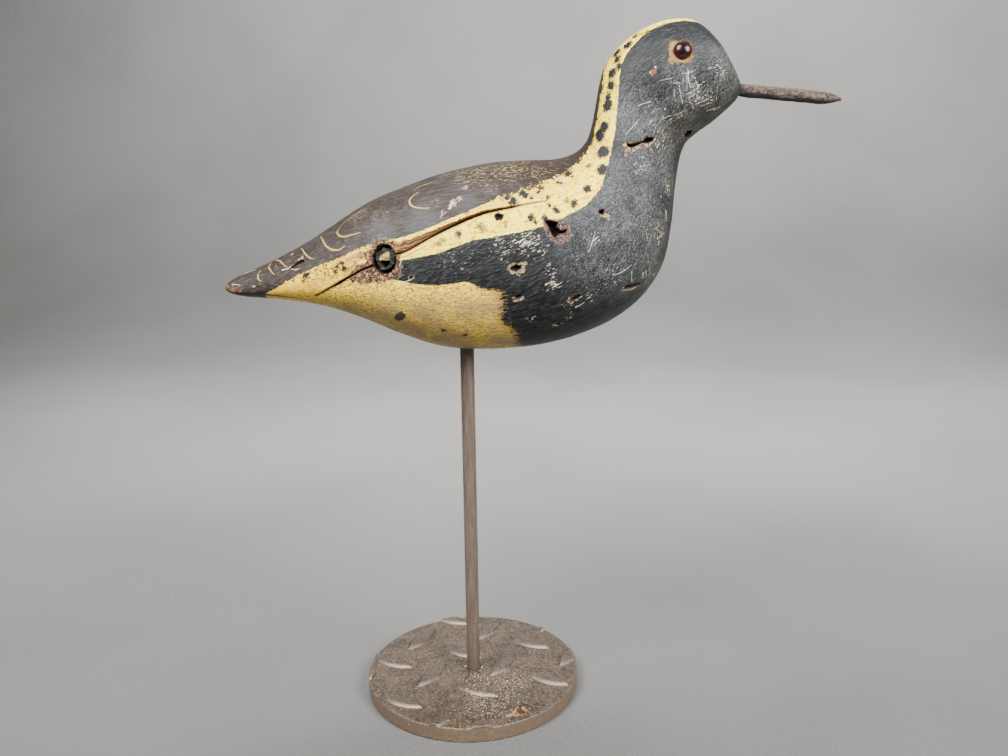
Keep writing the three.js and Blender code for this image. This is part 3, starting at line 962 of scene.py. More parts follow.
# Dark painted lines on the crown and nape; the first runs along the tail's lower edge as dark paint and
# painted shade.
DARK_PAINT_AND_SHADE_STROKES = (
    Stroke(((0.3, 8), (0.9, 4.0), (1.34, -10.0), (1.72, -24), (2.14, -28), (2.57, -28), (2.87, -26),
            (3.09, -26), (3.36, -30), (3.67, -33), (3.91, -36), (4.6, -46)), 0.75),
    Stroke(((18.75, 61.0), (19.09, 62.4), (19.53, 64.0), (19.81, 64.2)), 0.4),
    Stroke(((19.02, 62.0), (19.1, 67.5)), 0.55),
    Stroke(((18.72, 67.2), (18.95, 65.0)), 0.5),
    Stroke(((19.68, 71.5), (19.84, 69.7)), 0.5),
    Stroke(((20.44, 68.0), (20.52, 67.0)), 0.35),
    Stroke(((16.35, 79), (16.1, 75), (15.9, 73)), 0.5),
    Stroke(((20.0, 63.6), (20.4, 63.1), (20.8, 62.6), (21.1, 64)), 0.22),
    Stroke(((15.81, 73.8), (15.28, 73.9), (14.57, 73.0), (14.17, 75.6)), 0.6),
)
STROKES = {
    Mark.FEATHER: FEATHER_STROKES,
    Mark.SCRATCH: SCRATCH_STROKES,
    Mark.STAIN: STAIN_STROKES,
    Mark.GRIME: DARK_PAINT_AND_SHADE_STROKES,
}
STROKES_ON_BOTH_SIDES = (Mark.FEATHER, Mark.GRIME)


@dataclass(frozen=True)
class Scuff:
    """A soft patch that short dashes or scratches cover, thickest in its middle."""

    place: Place
    reach: float
    strength: float = 1.0


class Flecks(Enum):
    """Kinds of short marks: the name of each kind's mask, and its lean in degrees, front end up."""

    DASHES = ("dashed", 14.0)
    LOW = ("scuffed_low", 28.0)
    STEEP = ("scuffed_steep", 62.0)


SCUFFS = {
    Flecks.DASHES: (
        Scuff((8.7, 67), 8.0, 0.9), Scuff((9.5, 65), 8.0), Scuff((10.3, 62), 6.0, 0.7),
        Scuff((9.0, 56), 4.0, 0.6),
        Scuff((9.6, 78), 9.0, 0.7), Scuff((11.2, 70), 5.0, 0.4), Scuff((8.1, 76), 5.0, 0.6),
    ),
    Flecks.LOW: (
        Scuff((9.9, 12), 4.4), Scuff((9.4, 13), 3.4, 0.8), Scuff((10.2, 7), 3.4, 0.8),
        Scuff((9.4, 8), 4.5, 0.35),
        Scuff((8.4, 5), 9.0, 0.08), Scuff((10.42, -3), 1.6, 0.5), Scuff((10.47, -13), 2.6),
        Scuff((10.45, -8), 2.2, 0.9), Scuff((9.9, -34), 1.8, 0.7), Scuff((10.9, -31), 3.2, 0.7),
        Scuff((11.4, -29), 2.6, 0.45),
        Scuff((12.1, -23), 4.0, 0.4), Scuff((11.85, 4), 2.0, 0.5), Scuff((14.9, 1), 1.8, 0.6),
        Scuff((19.2, -30), 3.6, 0.5), Scuff((13.9, -24), 4.0, 0.25), Scuff((18.9, -16), 5.0, 0.2),
        Scuff((20.6, -14), 3.0, 0.5), Scuff((11.0, -12), 14.0, 0.05),
    ),
    Flecks.STEEP: (
        Scuff((15.1, -2), 3.6, 0.4), Scuff((17.2, -14), 5.5, 0.2), Scuff((16.2, -12), 5.0, 0.3),
        Scuff((14.3, -36), 2.2, 0.8), Scuff((14.3, -43), 2.4, 0.9), Scuff((15.6, -45), 1.8, 0.8),
        Scuff((15.6, -51), 1.8, 0.7), Scuff((19.1, -22), 3.5, 0.25), Scuff((13.2, -46), 2.0, 0.6),
        Scuff((14.0, -14), 9.0, 0.06),
    ),
}
FINE_MESH_SPOTS = (((18.9, -14), 9.0, 2), ((19.1, -30), 8.0, 2), ((16.8, -8), 9.0, 1), ((10.45, -8), 6.0, 1),
              ((4.2, 45), 9.0, 1), ((5.6, 45), 9.0, 1), ((7.4, 52), 8.0, 1), ((12.5, -30), 8.0, 1))


@dataclass(frozen=True)
class Dot:
    """A round dab of paint or a small worn patch."""

    place: Place
    radius: float


STRIPE_DOTS = tuple(Dot((station, turn), radius) for station, turn, radius in (
    (18.65, 72, 1.6), (18.22, 66, 2.3), (17.7, 74, 2.3), (17.48, 62, 1.9), (17.29, 51, 1.9), (16.85, 57, 2.4),
    (16.37, 52, 2.2), (15.84, 53, 1.9), (15.48, 52, 2.8), (14.5, 52, 2.6), (13.96, 59, 2.7), (13.91, 55, 2.4),
    (14.25, 54, 1.8), (13.59, 45, 3.0), (13.12, 37, 2.6), (12.07, 34.8, 1.9), (12.5, 51, 1.2),
    (11.45, 54, 1.9), (11.59, 51, 1.0), (11.02, 48.6, 1.4), (10.42, 44.7, 1.4), (10.34, 45.7, 1.3),
    (11.2, 39, 0.7), (10.58, 37.5, 1.0), (11.2, 33, 1.0), (11.4, 29.5, 1.7), (11.5, 30.5, 1.0),
    (10.6, 31.5, 1.1), (10.77, 28, 1.4), (10.85, 26.6, 0.9), (10.07, 24.6, 1.7), (10.15, 21.4, 1.0),
    (10.1, 37.8, 1.0), (9.94, 39.8, 1.5), (9.87, 41.6, 1.8), (9.63, 36, 2.1), (9.5, 39.5, 1.7),
    (9.42, 22.3, 1.2), (9.45, 20.6, 0.9), (8.94, 20.0, 1.4), (8.90, 22.0, 1.8), (8.41, 18.8, 1.6),
    (8.42, 17.3, 0.9), (7.99, 14.6, 1.5), (8.07, 15.8, 1.3), (8.59, 32, 0.9), (10.61, 31.1, 0.9),
    (11.06, 47.5, 1.0), (10.3, 41.4, 1.0), (12.06, 36, 1.3), (4.45, 9.2, 1.3), (4.07, 8.0, 1.0),
    (4.57, 10.4, 0.8), (4.79, 12.2, 0.7), (4.92, 8.8, 0.8), (4.82, 4.1, 0.8), (5.39, 9.4, 1.2),
    (5.56, 11.0, 1.2), (5.62, 6.4, 1.2), (5.66, 3.6, 1.3), (5.76, 2.1, 0.9), (5.64, -1.0, 0.8),
    (6.09, 12.9, 1.5), (6.05, 15.5, 1.1), (5.34, 5.1, 0.8), (4.38, 2.3, 0.7), (16.0, 71, 1.1),
    (15.8, 71.5, 1.1),
))
FADED_DOTS = (Dot((8.1, 15.5), 7.5), Dot((8.9, 20.5), 6.5), Dot((9.5, 22.0), 5.0))
BELLY_DOTS = tuple(Dot((station, turn), radius) for station, turn, radius in (
    (7.10, -33, 2.0), (7.05, -36, 2.1), (6.97, -39, 1.5), (8.38, -46, 1.2), (8.52, -46, 1.4),
    (8.06, -43, 1.5), (7.68, -10, 0.9), (6.3, -7, 0.8), (6.1, -9, 0.7),
))
WORN_DOTS = tuple(Dot((station, turn), radius) for station, turn, radius in (
    (8.01, 32.9, 1.0), (8.08, 35.2, 0.9), (8.2, 37.6, 1.0), (8.26, 40.0, 1.3), (8.3, 42.4, 1.0),
    (8.42, 43.4, 1.0), (8.47, 41.6, 0.7), (8.36, 38.6, 0.8), (8.19, 35.2, 0.7), (8.54, 51.2, 1.0),
    (3.86, 61, 0.8), (2.67, 8, 0.7), (6.45, 45, 0.6), (6.72, 47, 0.5), (7.9, 44.8, 0.6), (10.42, -2, 0.8),
    (10.47, -12, 0.8), (18.08, 17.5, 0.8), (18.32, 17.0, 0.8), (18.05, 14.6, 0.7), (0.7, 10, 0.8),
    (1.4, 6, 0.6),
))
DOTS_ON_BOTH_SIDES = {"stripe_dots": STRIPE_DOTS, "faded_dots": FADED_DOTS, "belly_dots": BELLY_DOTS}
DOTS_ON_RIGHT = {"worn_dots": WORN_DOTS}
PATCHES_ON_BOTH_SIDES: Mapping[str, tuple[Spot, ...]] = {
    # dust_and_sheen: dust, and a painted sheen where the breast, neck and cheeks bulge toward the lights
    "dust_and_sheen": (((12.6, -2), 24.0), ((14.6, -6), 18.0), ((13.6, 6), 14.0), ((13.4, -22), 14.0),
              ((16.5, 14), 14.0), ((18.9, -6), 12.0), ((21.2, -16), 11.0)),
    "olive": (((14.4, -42), 8.0), ((13.4, -50), 9.0), ((15.8, -46), 6.0), ((17.9, -48), 9.0),
              ((19.8, -46), 9.0), ((22.6, -4), 5.0), ((16.6, -30), 9.0)),
    "back_sheen": (((7.6, 29), 7.0), ((6.6, 31), 6.0), ((8.6, 40), 4.0)),
    "specked": (((5.3, 8), 7.5), ((5.9, 3), 6.0), ((4.5, 8), 4.0), ((14.7, 66), 2.6), ((15.7, 69), 2.6),
                ((16.6, 73), 2.6), ((17.6, 78), 2.6), ((18.7, 78), 2.6)),
    "shoulder": (((12.4, 80), 26.0), ((10.6, 75), 18.0), ((11.6, 66), 10.0)),
    "back_rub": (((6.45, 45), 3.6), ((7.85, 44), 2.6), ((9.1, 47), 3.2), ((5.9, 60), 5.0), ((8.5, 51), 1.8)),
}
PATCHES_ON_RIGHT: Mapping[str, tuple[Spot, ...]] = {
    "tail_wear": (((0.1, 0), 1.7), ((0.9, 12), 1.8), ((1.5, 8), 1.6), ((1.95, 4), 1.2)),
    "face_wear": (((24.4, 30), 2.4), ((24.4, -10), 2.2), ((23.4, 20), 1.2)),
    "red_spot": (((18.17, 15.8), 1.3),),
}


@dataclass
class Body:
    """The carved and painted bird."""

    form: CarvedForm
    eye: "EyeSizes"
    bill: "BillSizes"
    rod: "RodSizes"
    knot: Knot = Knot()
    split: Split = Split()
    node: str = "body"
    rings: int = 246
    columns: int = 200
    seam_turn: float = -135.0
    paint_step: float = 0.16
    socket_deep: float = 3.2
    bill_dimple: float = 1.0
    rod_dimple: float = 3.0

    def build(self) -> Object:
        """Makes the bird's mesh and dresses it.

        Returns:
            The finished piece.
        """
        mesh, skin = self.carve()
        for name, values in self.marks(skin).items():
            set_numbers(mesh, name, values)
        return add_piece("carved_bird", mesh, self.node, OldPaint().material())

    def places_of(self, flat: Array) -> tuple[Array, Array]:
        """Turns flat grid coordinates from -0.5 to 0.5 into stations and turns."""
        return (flat[:, 0] + 0.5) * self.form.last, self.seam_turn + (flat[:, 1] + 0.5) * 360

    def fine_paths(self) -> list[tuple[Array, float, int]]:
        """Lists what needs a fine mesh.

        Returns:
            The path or spot of each, its reach in millimetres, and how many times its mesh is halved.
        """
        paths = [(self.form.path(self.split.line, 3), 4.6, 2)]
        spots = [(self.knot.place, 8.0, 2)]
        for chip in CHIPS:
            size = max(math.hypot(*offset) for offset in (chip.hole or chip.bare))
            spots.append((chip.place, size + 0.8, 2))
        spots += FINE_MESH_SPOTS
        paths += [(self.form.at(place)[0][None], reach, times) for place, reach, times in spots]
        for side in Side:
            paths.append((self.eye.seat(self.form, side)[0][None], self.eye.diameter / 2 + 1.6, 3))
        return paths

    def grid(self) -> tuple[Array, list[list[int]]]:
        """Makes the flat grid, finer where the wood is broken.

        Returns:
            The grid's points and its faces.
        """
        bm = bmesh.new()
        bmesh.ops.create_grid(bm, x_segments=self.rings, y_segments=self.columns, size=0.5)
        for level in range(3):
            flat = np.array([vert.co[:2] for vert in bm.verts])
            points = self.form.skin(*self.places_of(flat))
            close = np.zeros(len(points), bool)
            for path, reach, times in self.fine_paths():
                if times <= level:
                    continue
                middle = path.mean(axis=0)
                span = lengths(path - middle).max() + reach + 2
                picked = np.flatnonzero(lengths(points - middle) < span)
                target = path if len(path) > 1 else np.vstack([path, path + 1e-3])
                gap, _ = nearest_on_path(points[picked], target)
                margin = 0.8 / (level + 1)
                close[picked[lengths(gap) < reach + margin]] = True
            bm.verts.ensure_lookup_table()
            edges = [edge for edge in bm.edges if close[edge.verts[0].index] and close[edge.verts[1].index]]
            bmesh.ops.subdivide_edges(bm, edges=edges, cuts=1, use_grid_fill=True)
            bm.verts.index_update()
        flat = np.array([vert.co[:2] for vert in bm.verts])
        faces = [[vert.index for vert in face.verts] for face in bm.faces]
        bm.free()
        return flat, faces

    def carve(self) -> tuple[Mesh, SkinPoints]:
        """Wraps the grid around the form, cuts the breaks into it and closes its seam and its ends.

        Returns:
            The body's mesh, and its points before the breaks.
        """
        flat, faces = self.grid()
        station, turn = self.places_of(flat)
        skin = SkinPoints(self.form, station, turn)
        sunk = self.breaks(skin)
        waves = lumps(skin.point, 14.0, 1) * 0.16 + lumps(skin.point, 5.0, 2) * 0.05
        fade = smooth_step(0.0, 1.0, station) * smooth_step(self.form.last, self.form.last - 1.5, station)
        filled = self.putty_bed(skin)
        fade = fade * (1 - np.clip(np.abs(filled) * 20, 0, 1))
        moved = skin.point + skin.outward * ((waves * fade + filled - sunk)[:, None])
        for at_end in (station < 1e-4, station > self.form.last - 1e-4):
            moved[at_end] = moved[at_end].mean(axis=0)
        mesh = bpy.data.meshes.new(self.node)
        mesh.from_pydata((moved * MM).tolist(), [], faces)
        set_numbers(mesh, "place", np.column_stack([station, turn, sunk]))
        bm = bmesh.new()
        bm.from_mesh(mesh)
        bm.verts.ensure_lookup_table()
        rim = [vert for vert in bm.verts if vert.is_boundary]
        bmesh.ops.remove_doubles(bm, verts=rim, dist=1e-6)
        bmesh.ops.recalc_face_normals(bm, faces=bm.faces)
        bm.to_mesh(mesh)
        bm.free()
        stored = np.zeros(len(mesh.vertices) * 3, np.float32)
        mesh.attributes["place"].data.foreach_get("vector", stored)
        stored = stored.reshape(-1, 3).astype(float)
        set_numbers(mesh, "sunk", stored[:, 2])
        return mesh, SkinPoints(self.form, stored[:, 0], stored[:, 1])

    def putty_bed(self, skin: SkinPoints) -> Array:
        """Works out the putty that fills the skin level under each eye's rim.

        Args:
            skin: The body's points.

        Returns:
            How far it lifts each point.
        """
        lift = np.zeros(len(skin.point))
        for side in Side:
            centre, outward = self.eye.seat(self.form, side)
            gap = skin.point - centre
            away = lengths(gap)
            near = away < 8
            fall = -(gap[near] @ outward)
            rim = self.eye.diameter / 2
            past_rim = smooth_step(rim - 0.1, rim + 0.7, away[near])
            rough = (lumps(skin.point[near], 1.5, 61) * 0.12 + 0.04) * past_rim
            lift[near] = (fall - 0.06 + rough) * smooth_step(rim + 2.6, rim + 0.5, away[near])
        return lift

    def breaks(self, skin: SkinPoints) -> Array:
        """Works out the breaks, sockets and holes.

        Args:
            skin: The body's points.

        Returns:
            How deep they lie below the smooth form at each point.
        """
        sunk, rim = self.knot.depth(skin)
        sunk = np.maximum(sunk, np.where(rim > 0.2, 0, self.split.depth(skin).sunk))
        for chip in CHIPS:
            flat, near = skin.flat_around(chip.place)
            bare = depth_inside(flat[near], np.array(chip.bare))
            cut = self.paint_step * smooth_step(-0.1, 0.3, bare)
            if chip.hole:
                hole = depth_inside(flat[near], np.array(chip.hole))
                rough = lumps(skin.point[near], 1.1, 51) * 0.35
                cut = np.maximum(cut, chip.deep * smooth_step(-0.15, 0.9, hole + rough * 0.4))
            sunk[near] = np.maximum(sunk[near], cut)
        for side in Side:
            centre, _ = self.eye.seat(self.form, side)
            stem = self.eye.diameter / 2 - self.eye.rim_lap
            socket = smooth_step(stem + 0.24, stem + 0.1, lengths(skin.point - centre))
            sunk = np.maximum(sunk, self.socket_deep * socket)
        return np.maximum(sunk, self.seats(skin))

    def seats(self, skin: SkinPoints) -> Array:
        """Works out the dimples around the bill's root and the rod's top.

        Args:
            skin: The body's points.

        Returns:
            How deep they lie at each point.
        """
        root, tip = self.bill.axis(self.form)
        direction = (tip - root) / np.linalg.norm(tip - root)
        gap = skin.point - root
        off_axis = lengths(gap - (gap @ direction)[:, None] * direction)
        at_face = skin.station > self.form.last - 4
        bill = np.where(at_face, self.bill_dimple * smooth_step(3.3, 2.5, off_axis), 0)
        below = np.abs(skin.turn + 90) < 40
        from_rod = np.hypot(skin.point[:, 0], skin.point[:, 1])
        hole = self.rod.diameter / 2 + FIT_CLEARANCE
        rod = np.where(below, self.rod_dimple * smooth_step(hole + 0.4, hole - 0.4, from_rod), 0)
        return np.maximum(bill, rod)

    def marks(self, skin: SkinPoints) -> dict[str, Array]:
        """Works out where each paint, mark and break lies.

        Args:
            skin: The body's points.

        Returns:
            The numbers or vectors of each mark, by the name that the finish reads them under.
        """
        places, points = skin.folded()
        marks = {**self.knot_marks(skin), **self.chip_marks(skin), **self.putty_marks(skin)}
        for name, border in PAINT_BORDERS.items():
            marks[name] = border.depth(self.form, places, points)
        _, middle, _, _ = self.form.sections(skin.station)
        spine = catmull_rom(self.spine_lengths()[:, None], skin.station)[:, 0]
        height = lengths(skin.point[:, [0, 2]] - middle) * np.sign(np.sin(np.radians(skin.turn)))
        marks["flow"] = np.column_stack([spine, skin.point[:, 1], height])
        for around, dots, patches in (
            (points, DOTS_ON_BOTH_SIDES, PATCHES_ON_BOTH_SIDES),
            (skin.point, DOTS_ON_RIGHT, PATCHES_ON_RIGHT),
        ):
            marks |= {name: self.inside_dots(around, group) for name, group in dots.items()}
            marks |= {name: self.patches(around, spots) for name, spots in patches.items()}
        for kind, scuffs in SCUFFS.items():
            marks[kind.value[0]] = self.scuffed(points if kind is Flecks.DASHES else skin.point, scuffs)
        for mark, strokes in STROKES.items():
            around = points if mark in STROKES_ON_BOTH_SIDES else skin.point
            paths = [(self.form.path(stroke.places, 5), stroke.half_width) for stroke in strokes]
            marks[mark.value] = self.offsets(paths, around, skin.outward)
        marks["ragged"] = self.raggedness(places)
        marks["bristled"] = self.bristles(places)
        return marks

    def spine_lengths(self) -> Array:
        """Gives the distance along the middles of the stations, up to each station."""
        _, middle, _, _ = self.form.sections(np.arange(self.form.last + 1.0))
        return np.concatenate([[0.0], np.cumsum(lengths(np.diff(middle, axis=0)))])

    def knot_marks(self, skin: SkinPoints) -> dict[str, Array]:
        """Works out the parts of the knot and the split.

        Args:
            skin: The body's points.

        Returns:
            Each mark's numbers or vectors, by name.
        """
        _, rim = self.knot.depth(skin)
        lay = self.split.depth(skin)
        marks = {"knot_rim": rim, "split_line": lay.line, "split_bevel": lay.bevel, "split_grain": lay.grain}
        flat, near = skin.flat_around(self.knot.place)
        for name in ("bare", "core", "pale", "void"):
            inside = np.full(len(skin.point), OUTSIDE)
            inside[near] = depth_inside(flat[near], np.array(getattr(self.knot, name)))
            marks[f"knot_{name}"] = inside
        return marks

    def chip_marks(self, skin: SkinPoints) -> dict[str, Array]:
        """Works out the chips.

        Args:
            skin: The body's points.

        Returns:
            How far inside a chip's bare wood and its hole each point lies, and how brown the wood is.
        """
        bare = np.full(len(skin.point), OUTSIDE)
        hole = bare.copy()
        brown = np.zeros(len(skin.point))
        for chip in CHIPS:
            flat, near = skin.flat_around(chip.place)
            inside = depth_inside(flat[near], np.array(chip.bare))
            brown[near] = np.where(inside > -1.5, np.maximum(brown[near], chip.brown), brown[near])
            bare[near] = np.maximum(bare[near], inside)
            if chip.hole:
                hole[near] = np.maximum(hole[near], depth_inside(flat[near], np.array(chip.hole)))
        return {"chip_bare": bare, "chip_hole": hole, "chip_brown": brown}

    def putty_marks(self, skin: SkinPoints) -> dict[str, Array]:
        """Works out the rings of putty around the eyes.

        Args:
            skin: The body's points.

        Returns:
            How far inside a ring each point lies, and how shaded the ring is there.
        """
        putty = np.full(len(skin.point), OUTSIDE)
        shaded = np.zeros(len(skin.point))
        station, turn = self.eye.place
        for place in ((station, turn), (station, 180 - turn)):
            flat, near = skin.flat_around(place)
            putty[near] = np.maximum(putty[near], depth_inside(flat[near], np.array(self.eye.putty)))
            shaded[near] = smooth_step(-1.0, 5.0, flat[near, 0] * 0.6 + flat[near, 1] * 0.8)
        return {"putty": putty, "putty_shade": shaded}

    def away(self, points: Array, place: Place) -> Array:
        """Gives each point's distance from a place on the smooth skin."""
        return lengths(points - self.form.at(place)[0])

    def inside_dots(self, points: Array, dots: Sequence[Dot]) -> Array:
        """Gives each point's distance inside the nearest of some dots."""
        return np.max([dot.radius - self.away(points, dot.place) for dot in dots], axis=0, initial=OUTSIDE)

    def patches(self, points: Array, spots: Sequence[Spot]) -> Array:
        """Gives a soft mask around places, each with its reach."""
        return np.max([smooth_step(reach * 1.5, reach * 0.4, self.away(points, place))
                       for place, reach in spots], axis=0)

    def scuffed(self, points: Array, scuffs: Sequence[Scuff]) -> Array:
        """Gives how thickly short marks lie at each point."""
        return np.max([s.strength * smooth_step(s.reach * 1.7, s.reach * 0.2, self.away(points, s.place))
                       for s in scuffs], axis=0)

    @staticmethod
    def offsets(paths: Sequence[tuple[Array, float]], points: Array, outward: Array) -> Array:
        """Gives each point's offset from the nearest of some paths, in half widths of it.

        Far from every path it is a long step along the skin's outward direction, so that no false mark
        appears half way between two of them.

        Args:
            paths: The paths and their half widths.
            points: The points, one in a row.
            outward: The skin's outward direction at each.

        Returns:
            One offset in a row.
        """
        far, reach = 9.0, 2.4
        result = outward * far
        best = np.full(len(points), reach)
        for path, half_width in paths:
            middle = path.mean(axis=0)
            span = lengths(path - middle).max() + reach
            picked = np.flatnonzero(((points - middle) ** 2).sum(axis=1) < span**2)
            if not len(picked):
                continue
            gap, share = nearest_on_path(points[picked], path)
            away = lengths(gap)
            closer = away < best[picked]
            chosen = picked[closer]
            best[chosen] = away[closer]
            taper = half_width * (0.4 + 0.6 * np.sin(math.pi * share[closer]))
            result[chosen] = gap[closer] / taper[:, None]
        return result

    @staticmethod
    def raggedness(places: Array) -> Array:
        """Gives how far paint edges stray.

        Args:
            places: Places, one in a row.

        Returns:
            A distance in millimetres for each.
        """
        station, turn = places.T
        jagged_back = smooth_step(8.9, 9.5, station) * smooth_step(25, 33, turn)
        jagged_back = jagged_back * smooth_step(13.2, 12.4, station)
        nape = smooth_step(12.4, 13.2, station) * smooth_step(60, 66, turn)
        tail = smooth_step(6.6, 6.0, station) * smooth_step(-8, 0, turn)
        return 0.25 + 3.0 * jagged_back + 1.5 * nape + 0.45 * tail

    @staticmethod
    def bristles(places: Array) -> Array:
        """Gives how far a dry brush drags the paint's edge along its stroke.

        Args:
            places: Places, one in a row.

        Returns:
            A distance in millimetres for each.
        """
        station, turn = places.T
        belly_end = smooth_step(8.4, 9.2, station) * smooth_step(-8, -16, turn)
        belly_end = belly_end * smooth_step(11, 10.2, station)
        belly_top = smooth_step(7.2, 7.8, station) * smooth_step(6, 0, turn) * smooth_step(9.6, 9.2, station)
        return 3.2 * belly_end + 0.45 * belly_top * (1 - belly_end)


class Brushwork:
    """The old paint's nodes, and the noises that its layers share."""

    def __init__(self) -> None:
        """Starts the material and adds the noises."""
        self.kit = kit = NodeKit("old_paint")
        self.flow = kit.vector("flow")
        self.place = kit.position()
        self.streaks = kit.noise(kit.stretched(self.flow, 0.11), 0.95, 4.0, 0.7)
        self.fine = kit.noise(kit.stretched(self.flow, 0.2), 2.2, 3.0, 0.65)
        self.bristle = kit.noise(kit.stretched(self.flow, 0.09), 1.1, 3.0, 0.65) - 0.5
        self.stipple = kit.noise(kit.stretched(self.flow, 0.42), 1.5, 4.0, 0.85)
        self.broad = kit.noise(self.place, 0.09, 3.0, 0.5)
        self.mottle = kit.noise(self.place, 0.75, 4.0, 0.75)
        self.edge = kit.noise(self.place, 0.62, 3.0, 0.8) - 0.5
        self.blots = kit.noise(self.place, 1.0, 3.0, 0.65) - 0.5


@dataclass(frozen=True)
class OldPaint:
    """The bird's brushed paint, worn through to primer and wood."""

    back: Colour = (0.0170, 0.0124, 0.0092)
    back_light: Colour = (0.056, 0.0425, 0.0325)
    back_haze: Colour = (0.043, 0.039, 0.040)
    back_dust: Colour = (0.115, 0.088, 0.068)
    back_rubbed: Colour = (0.22, 0.175, 0.15)
    back_sheen: Colour = (0.056, 0.053, 0.057)
    shoulder: Colour = (0.0130, 0.0070, 0.0048)
    stripe: Colour = (0.92, 0.64, 0.020)
    stripe_light: Colour = (1.0, 0.85, 0.07)
    stripe_deep: Colour = (0.44, 0.235, 0.008)
    stripe_tail: Colour = (0.56, 0.305, 0.018)
    stripe_chalk: Colour = (1.0, 0.88, 0.17)
    stripe_speck: Colour = (0.13, 0.065, 0.012)
    dark_speck: Colour = (0.010, 0.006, 0.004)
    belly: Colour = (0.78, 0.450, 0.022)
    belly_light: Colour = (1.0, 0.77, 0.075)
    belly_dark: Colour = (0.19, 0.105, 0.022)
    belly_low_dark: Colour = (0.23, 0.158, 0.085)
    belly_dab: Colour = (0.014, 0.012, 0.009)
    front: Colour = (0.0032, 0.0035, 0.0036)
    front_worn: Colour = (0.0205, 0.0215, 0.0218)
    # front_sheen: a painted sheen on the black paint
    front_sheen: Colour = (0.150, 0.157, 0.162)
    front_olive: Colour = (0.115, 0.108, 0.080)
    front_grit: Colour = (0.30, 0.30, 0.27)
    front_brown: Colour = (0.035, 0.021, 0.013)
    primer: Colour = (0.55, 0.45, 0.25)
    scratch: Colour = (0.58, 0.53, 0.39)
    wood: Colour = (0.060, 0.025, 0.009)
    wood_dark: Colour = (0.010, 0.004, 0.002)
    wood_pink: Colour = (0.080, 0.038, 0.025)
    feather: Colour = (0.36, 0.24, 0.06)
    dash: Colour = (0.34, 0.25, 0.11)
    stain: Colour = (0.32, 0.125, 0.042)
    # dark paint, and painted shade along the tail's lower edge
    grime: Colour = (0.010, 0.007, 0.005)
    putty: Colour = (0.32, 0.180, 0.060)
    dab: Colour = (0.0026, 0.0032, 0.0040)
    dab_worn: Colour = (0.009, 0.011, 0.0135)
    dab_faded: Colour = (0.020, 0.023, 0.025)
    # void: near black, painted shade in the deepest hollows and gaps
    void: Colour = (0.002, 0.0015, 0.001)
    rubbed_spots: Pair = ((0.62, 0.46, 0.30), (0.22, 0.10, 0.045))
    mauves: Pair = ((0.010, 0.005, 0.004), (0.075, 0.039, 0.031))
    pale_chips: Pair = ((0.30, 0.22, 0.12), (0.050, 0.026, 0.014))
    dull_rims: Pair = ((0.20, 0.13, 0.10), (0.045, 0.023, 0.017))
    raw_tail: Pair = ((0.075, 0.027, 0.009), (0.17, 0.080, 0.036))
    split_tans: Pair = ((0.27, 0.140, 0.050), (0.085, 0.036, 0.013))
    split_browns: Pair = ((0.11, 0.048, 0.018), (0.020, 0.009, 0.004))
    # split_deeps: painted shade at the bottom of the split's bevel
    split_deeps: Pair = ((0.045, 0.018, 0.008), (0.008, 0.004, 0.002))
    core_olives: Pair = ((0.0022, 0.0019, 0.0012), (0.017, 0.0145, 0.008))
    core_pales: Pair = ((0.36, 0.27, 0.12), (0.07, 0.045, 0.018))
    red_spot: Colour = (0.14, 0.045, 0.035)
    mauve_chalk: Colour = (0.30, 0.22, 0.18)
    bright_rim: Colour = (0.20, 0.12, 0.05)
    # hole: near black, painted shade in the chips' holes
    hole: Colour = (0.004, 0.002, 0.0015)
    putty_dark: Colour = (0.17, 0.092, 0.033)
    putty_shade: Colour = (0.045, 0.032, 0.018)
    flaked: Colour = (0.36, 0.30, 0.24)
    worn_face: Colour = (0.055, 0.032, 0.022)
    torn_brown: Colour = (0.17, 0.080, 0.030)
    torn_black: Colour = (0.009, 0.005, 0.003)
    torn_pale: Colour = (0.46, 0.33, 0.20)
    torn_edge: Colour = (0.07, 0.032, 0.015)
    split_black: Colour = (0.012, 0.006, 0.003)
    line_edge: Colour = (0.115, 0.045, 0.016)
    # line: near black, painted shade in the split
    line: Colour = (0.006, 0.003, 0.002)
    core_light: Colour = (0.10, 0.082, 0.048)
    # core_edge: painted shade around the knot's core
    core_edge: Colour = (0.003, 0.002, 0.0015)
    knot_shadow: Colour = (0.030, 0.014, 0.009)

    def material(self) -> Material:
        """Mixes the paint.

        Returns:
            The finished material.
        """
        brush = Brushwork()
        kit, streaks, mottle = brush.kit, brush.streaks, brush.mottle
        stray = brush.edge * kit.number("ragged") * 4.6 + brush.blots * 0.6
        stray = stray + (brush.bristle * 0.5 + (brush.stipple - 0.5) * 1.6) * kit.number("bristled") * 4.5
        in_belly = (kit.number("belly_paint") + brush.blots * 2.5).rise(-2.5, 2.0)
        in_back = (kit.number("back_paint") + stray).rise(-0.1, 0.1)
        in_front = (kit.number("front_paint") + stray).rise(-0.1, 0.1)
        colour = kit.mix(in_belly, self.stripe_colour(brush), self.belly_colour(brush))
        colour = kit.mix(in_back, colour, self.back_colour(brush))
        colour = kit.mix(in_front, colour, self.front_colour(brush))

        colour = self.drawn_marks(brush, colour, in_back)
        colour, chipped = self.chips(brush, colour)
        colour, rubbed = self.putty_and_ends(brush, colour)
        colour, torn = self.torn_wood(brush, colour)
        colour = self.knot(brush, colour)
        # painted shade: everything sunk deeper than about 2 mm is painted near black
        colour = kit.mix(kit.number("sunk").rise(1.8, 3.6), colour, self.void)
        bare = chipped.over(rubbed).over(torn)
        roughness = 0.36 + streaks * 0.16 + mottle * 0.08 + bare * 0.3
        height = streaks * 0.9 + brush.fine * 0.25 + mottle * 0.35 - bare * 0.3
        return kit.surface({"Base Color": colour, "Roughness": roughness, "Normal": kit.bump(height, 0.42),
                            "Specular IOR Level": 0.22})

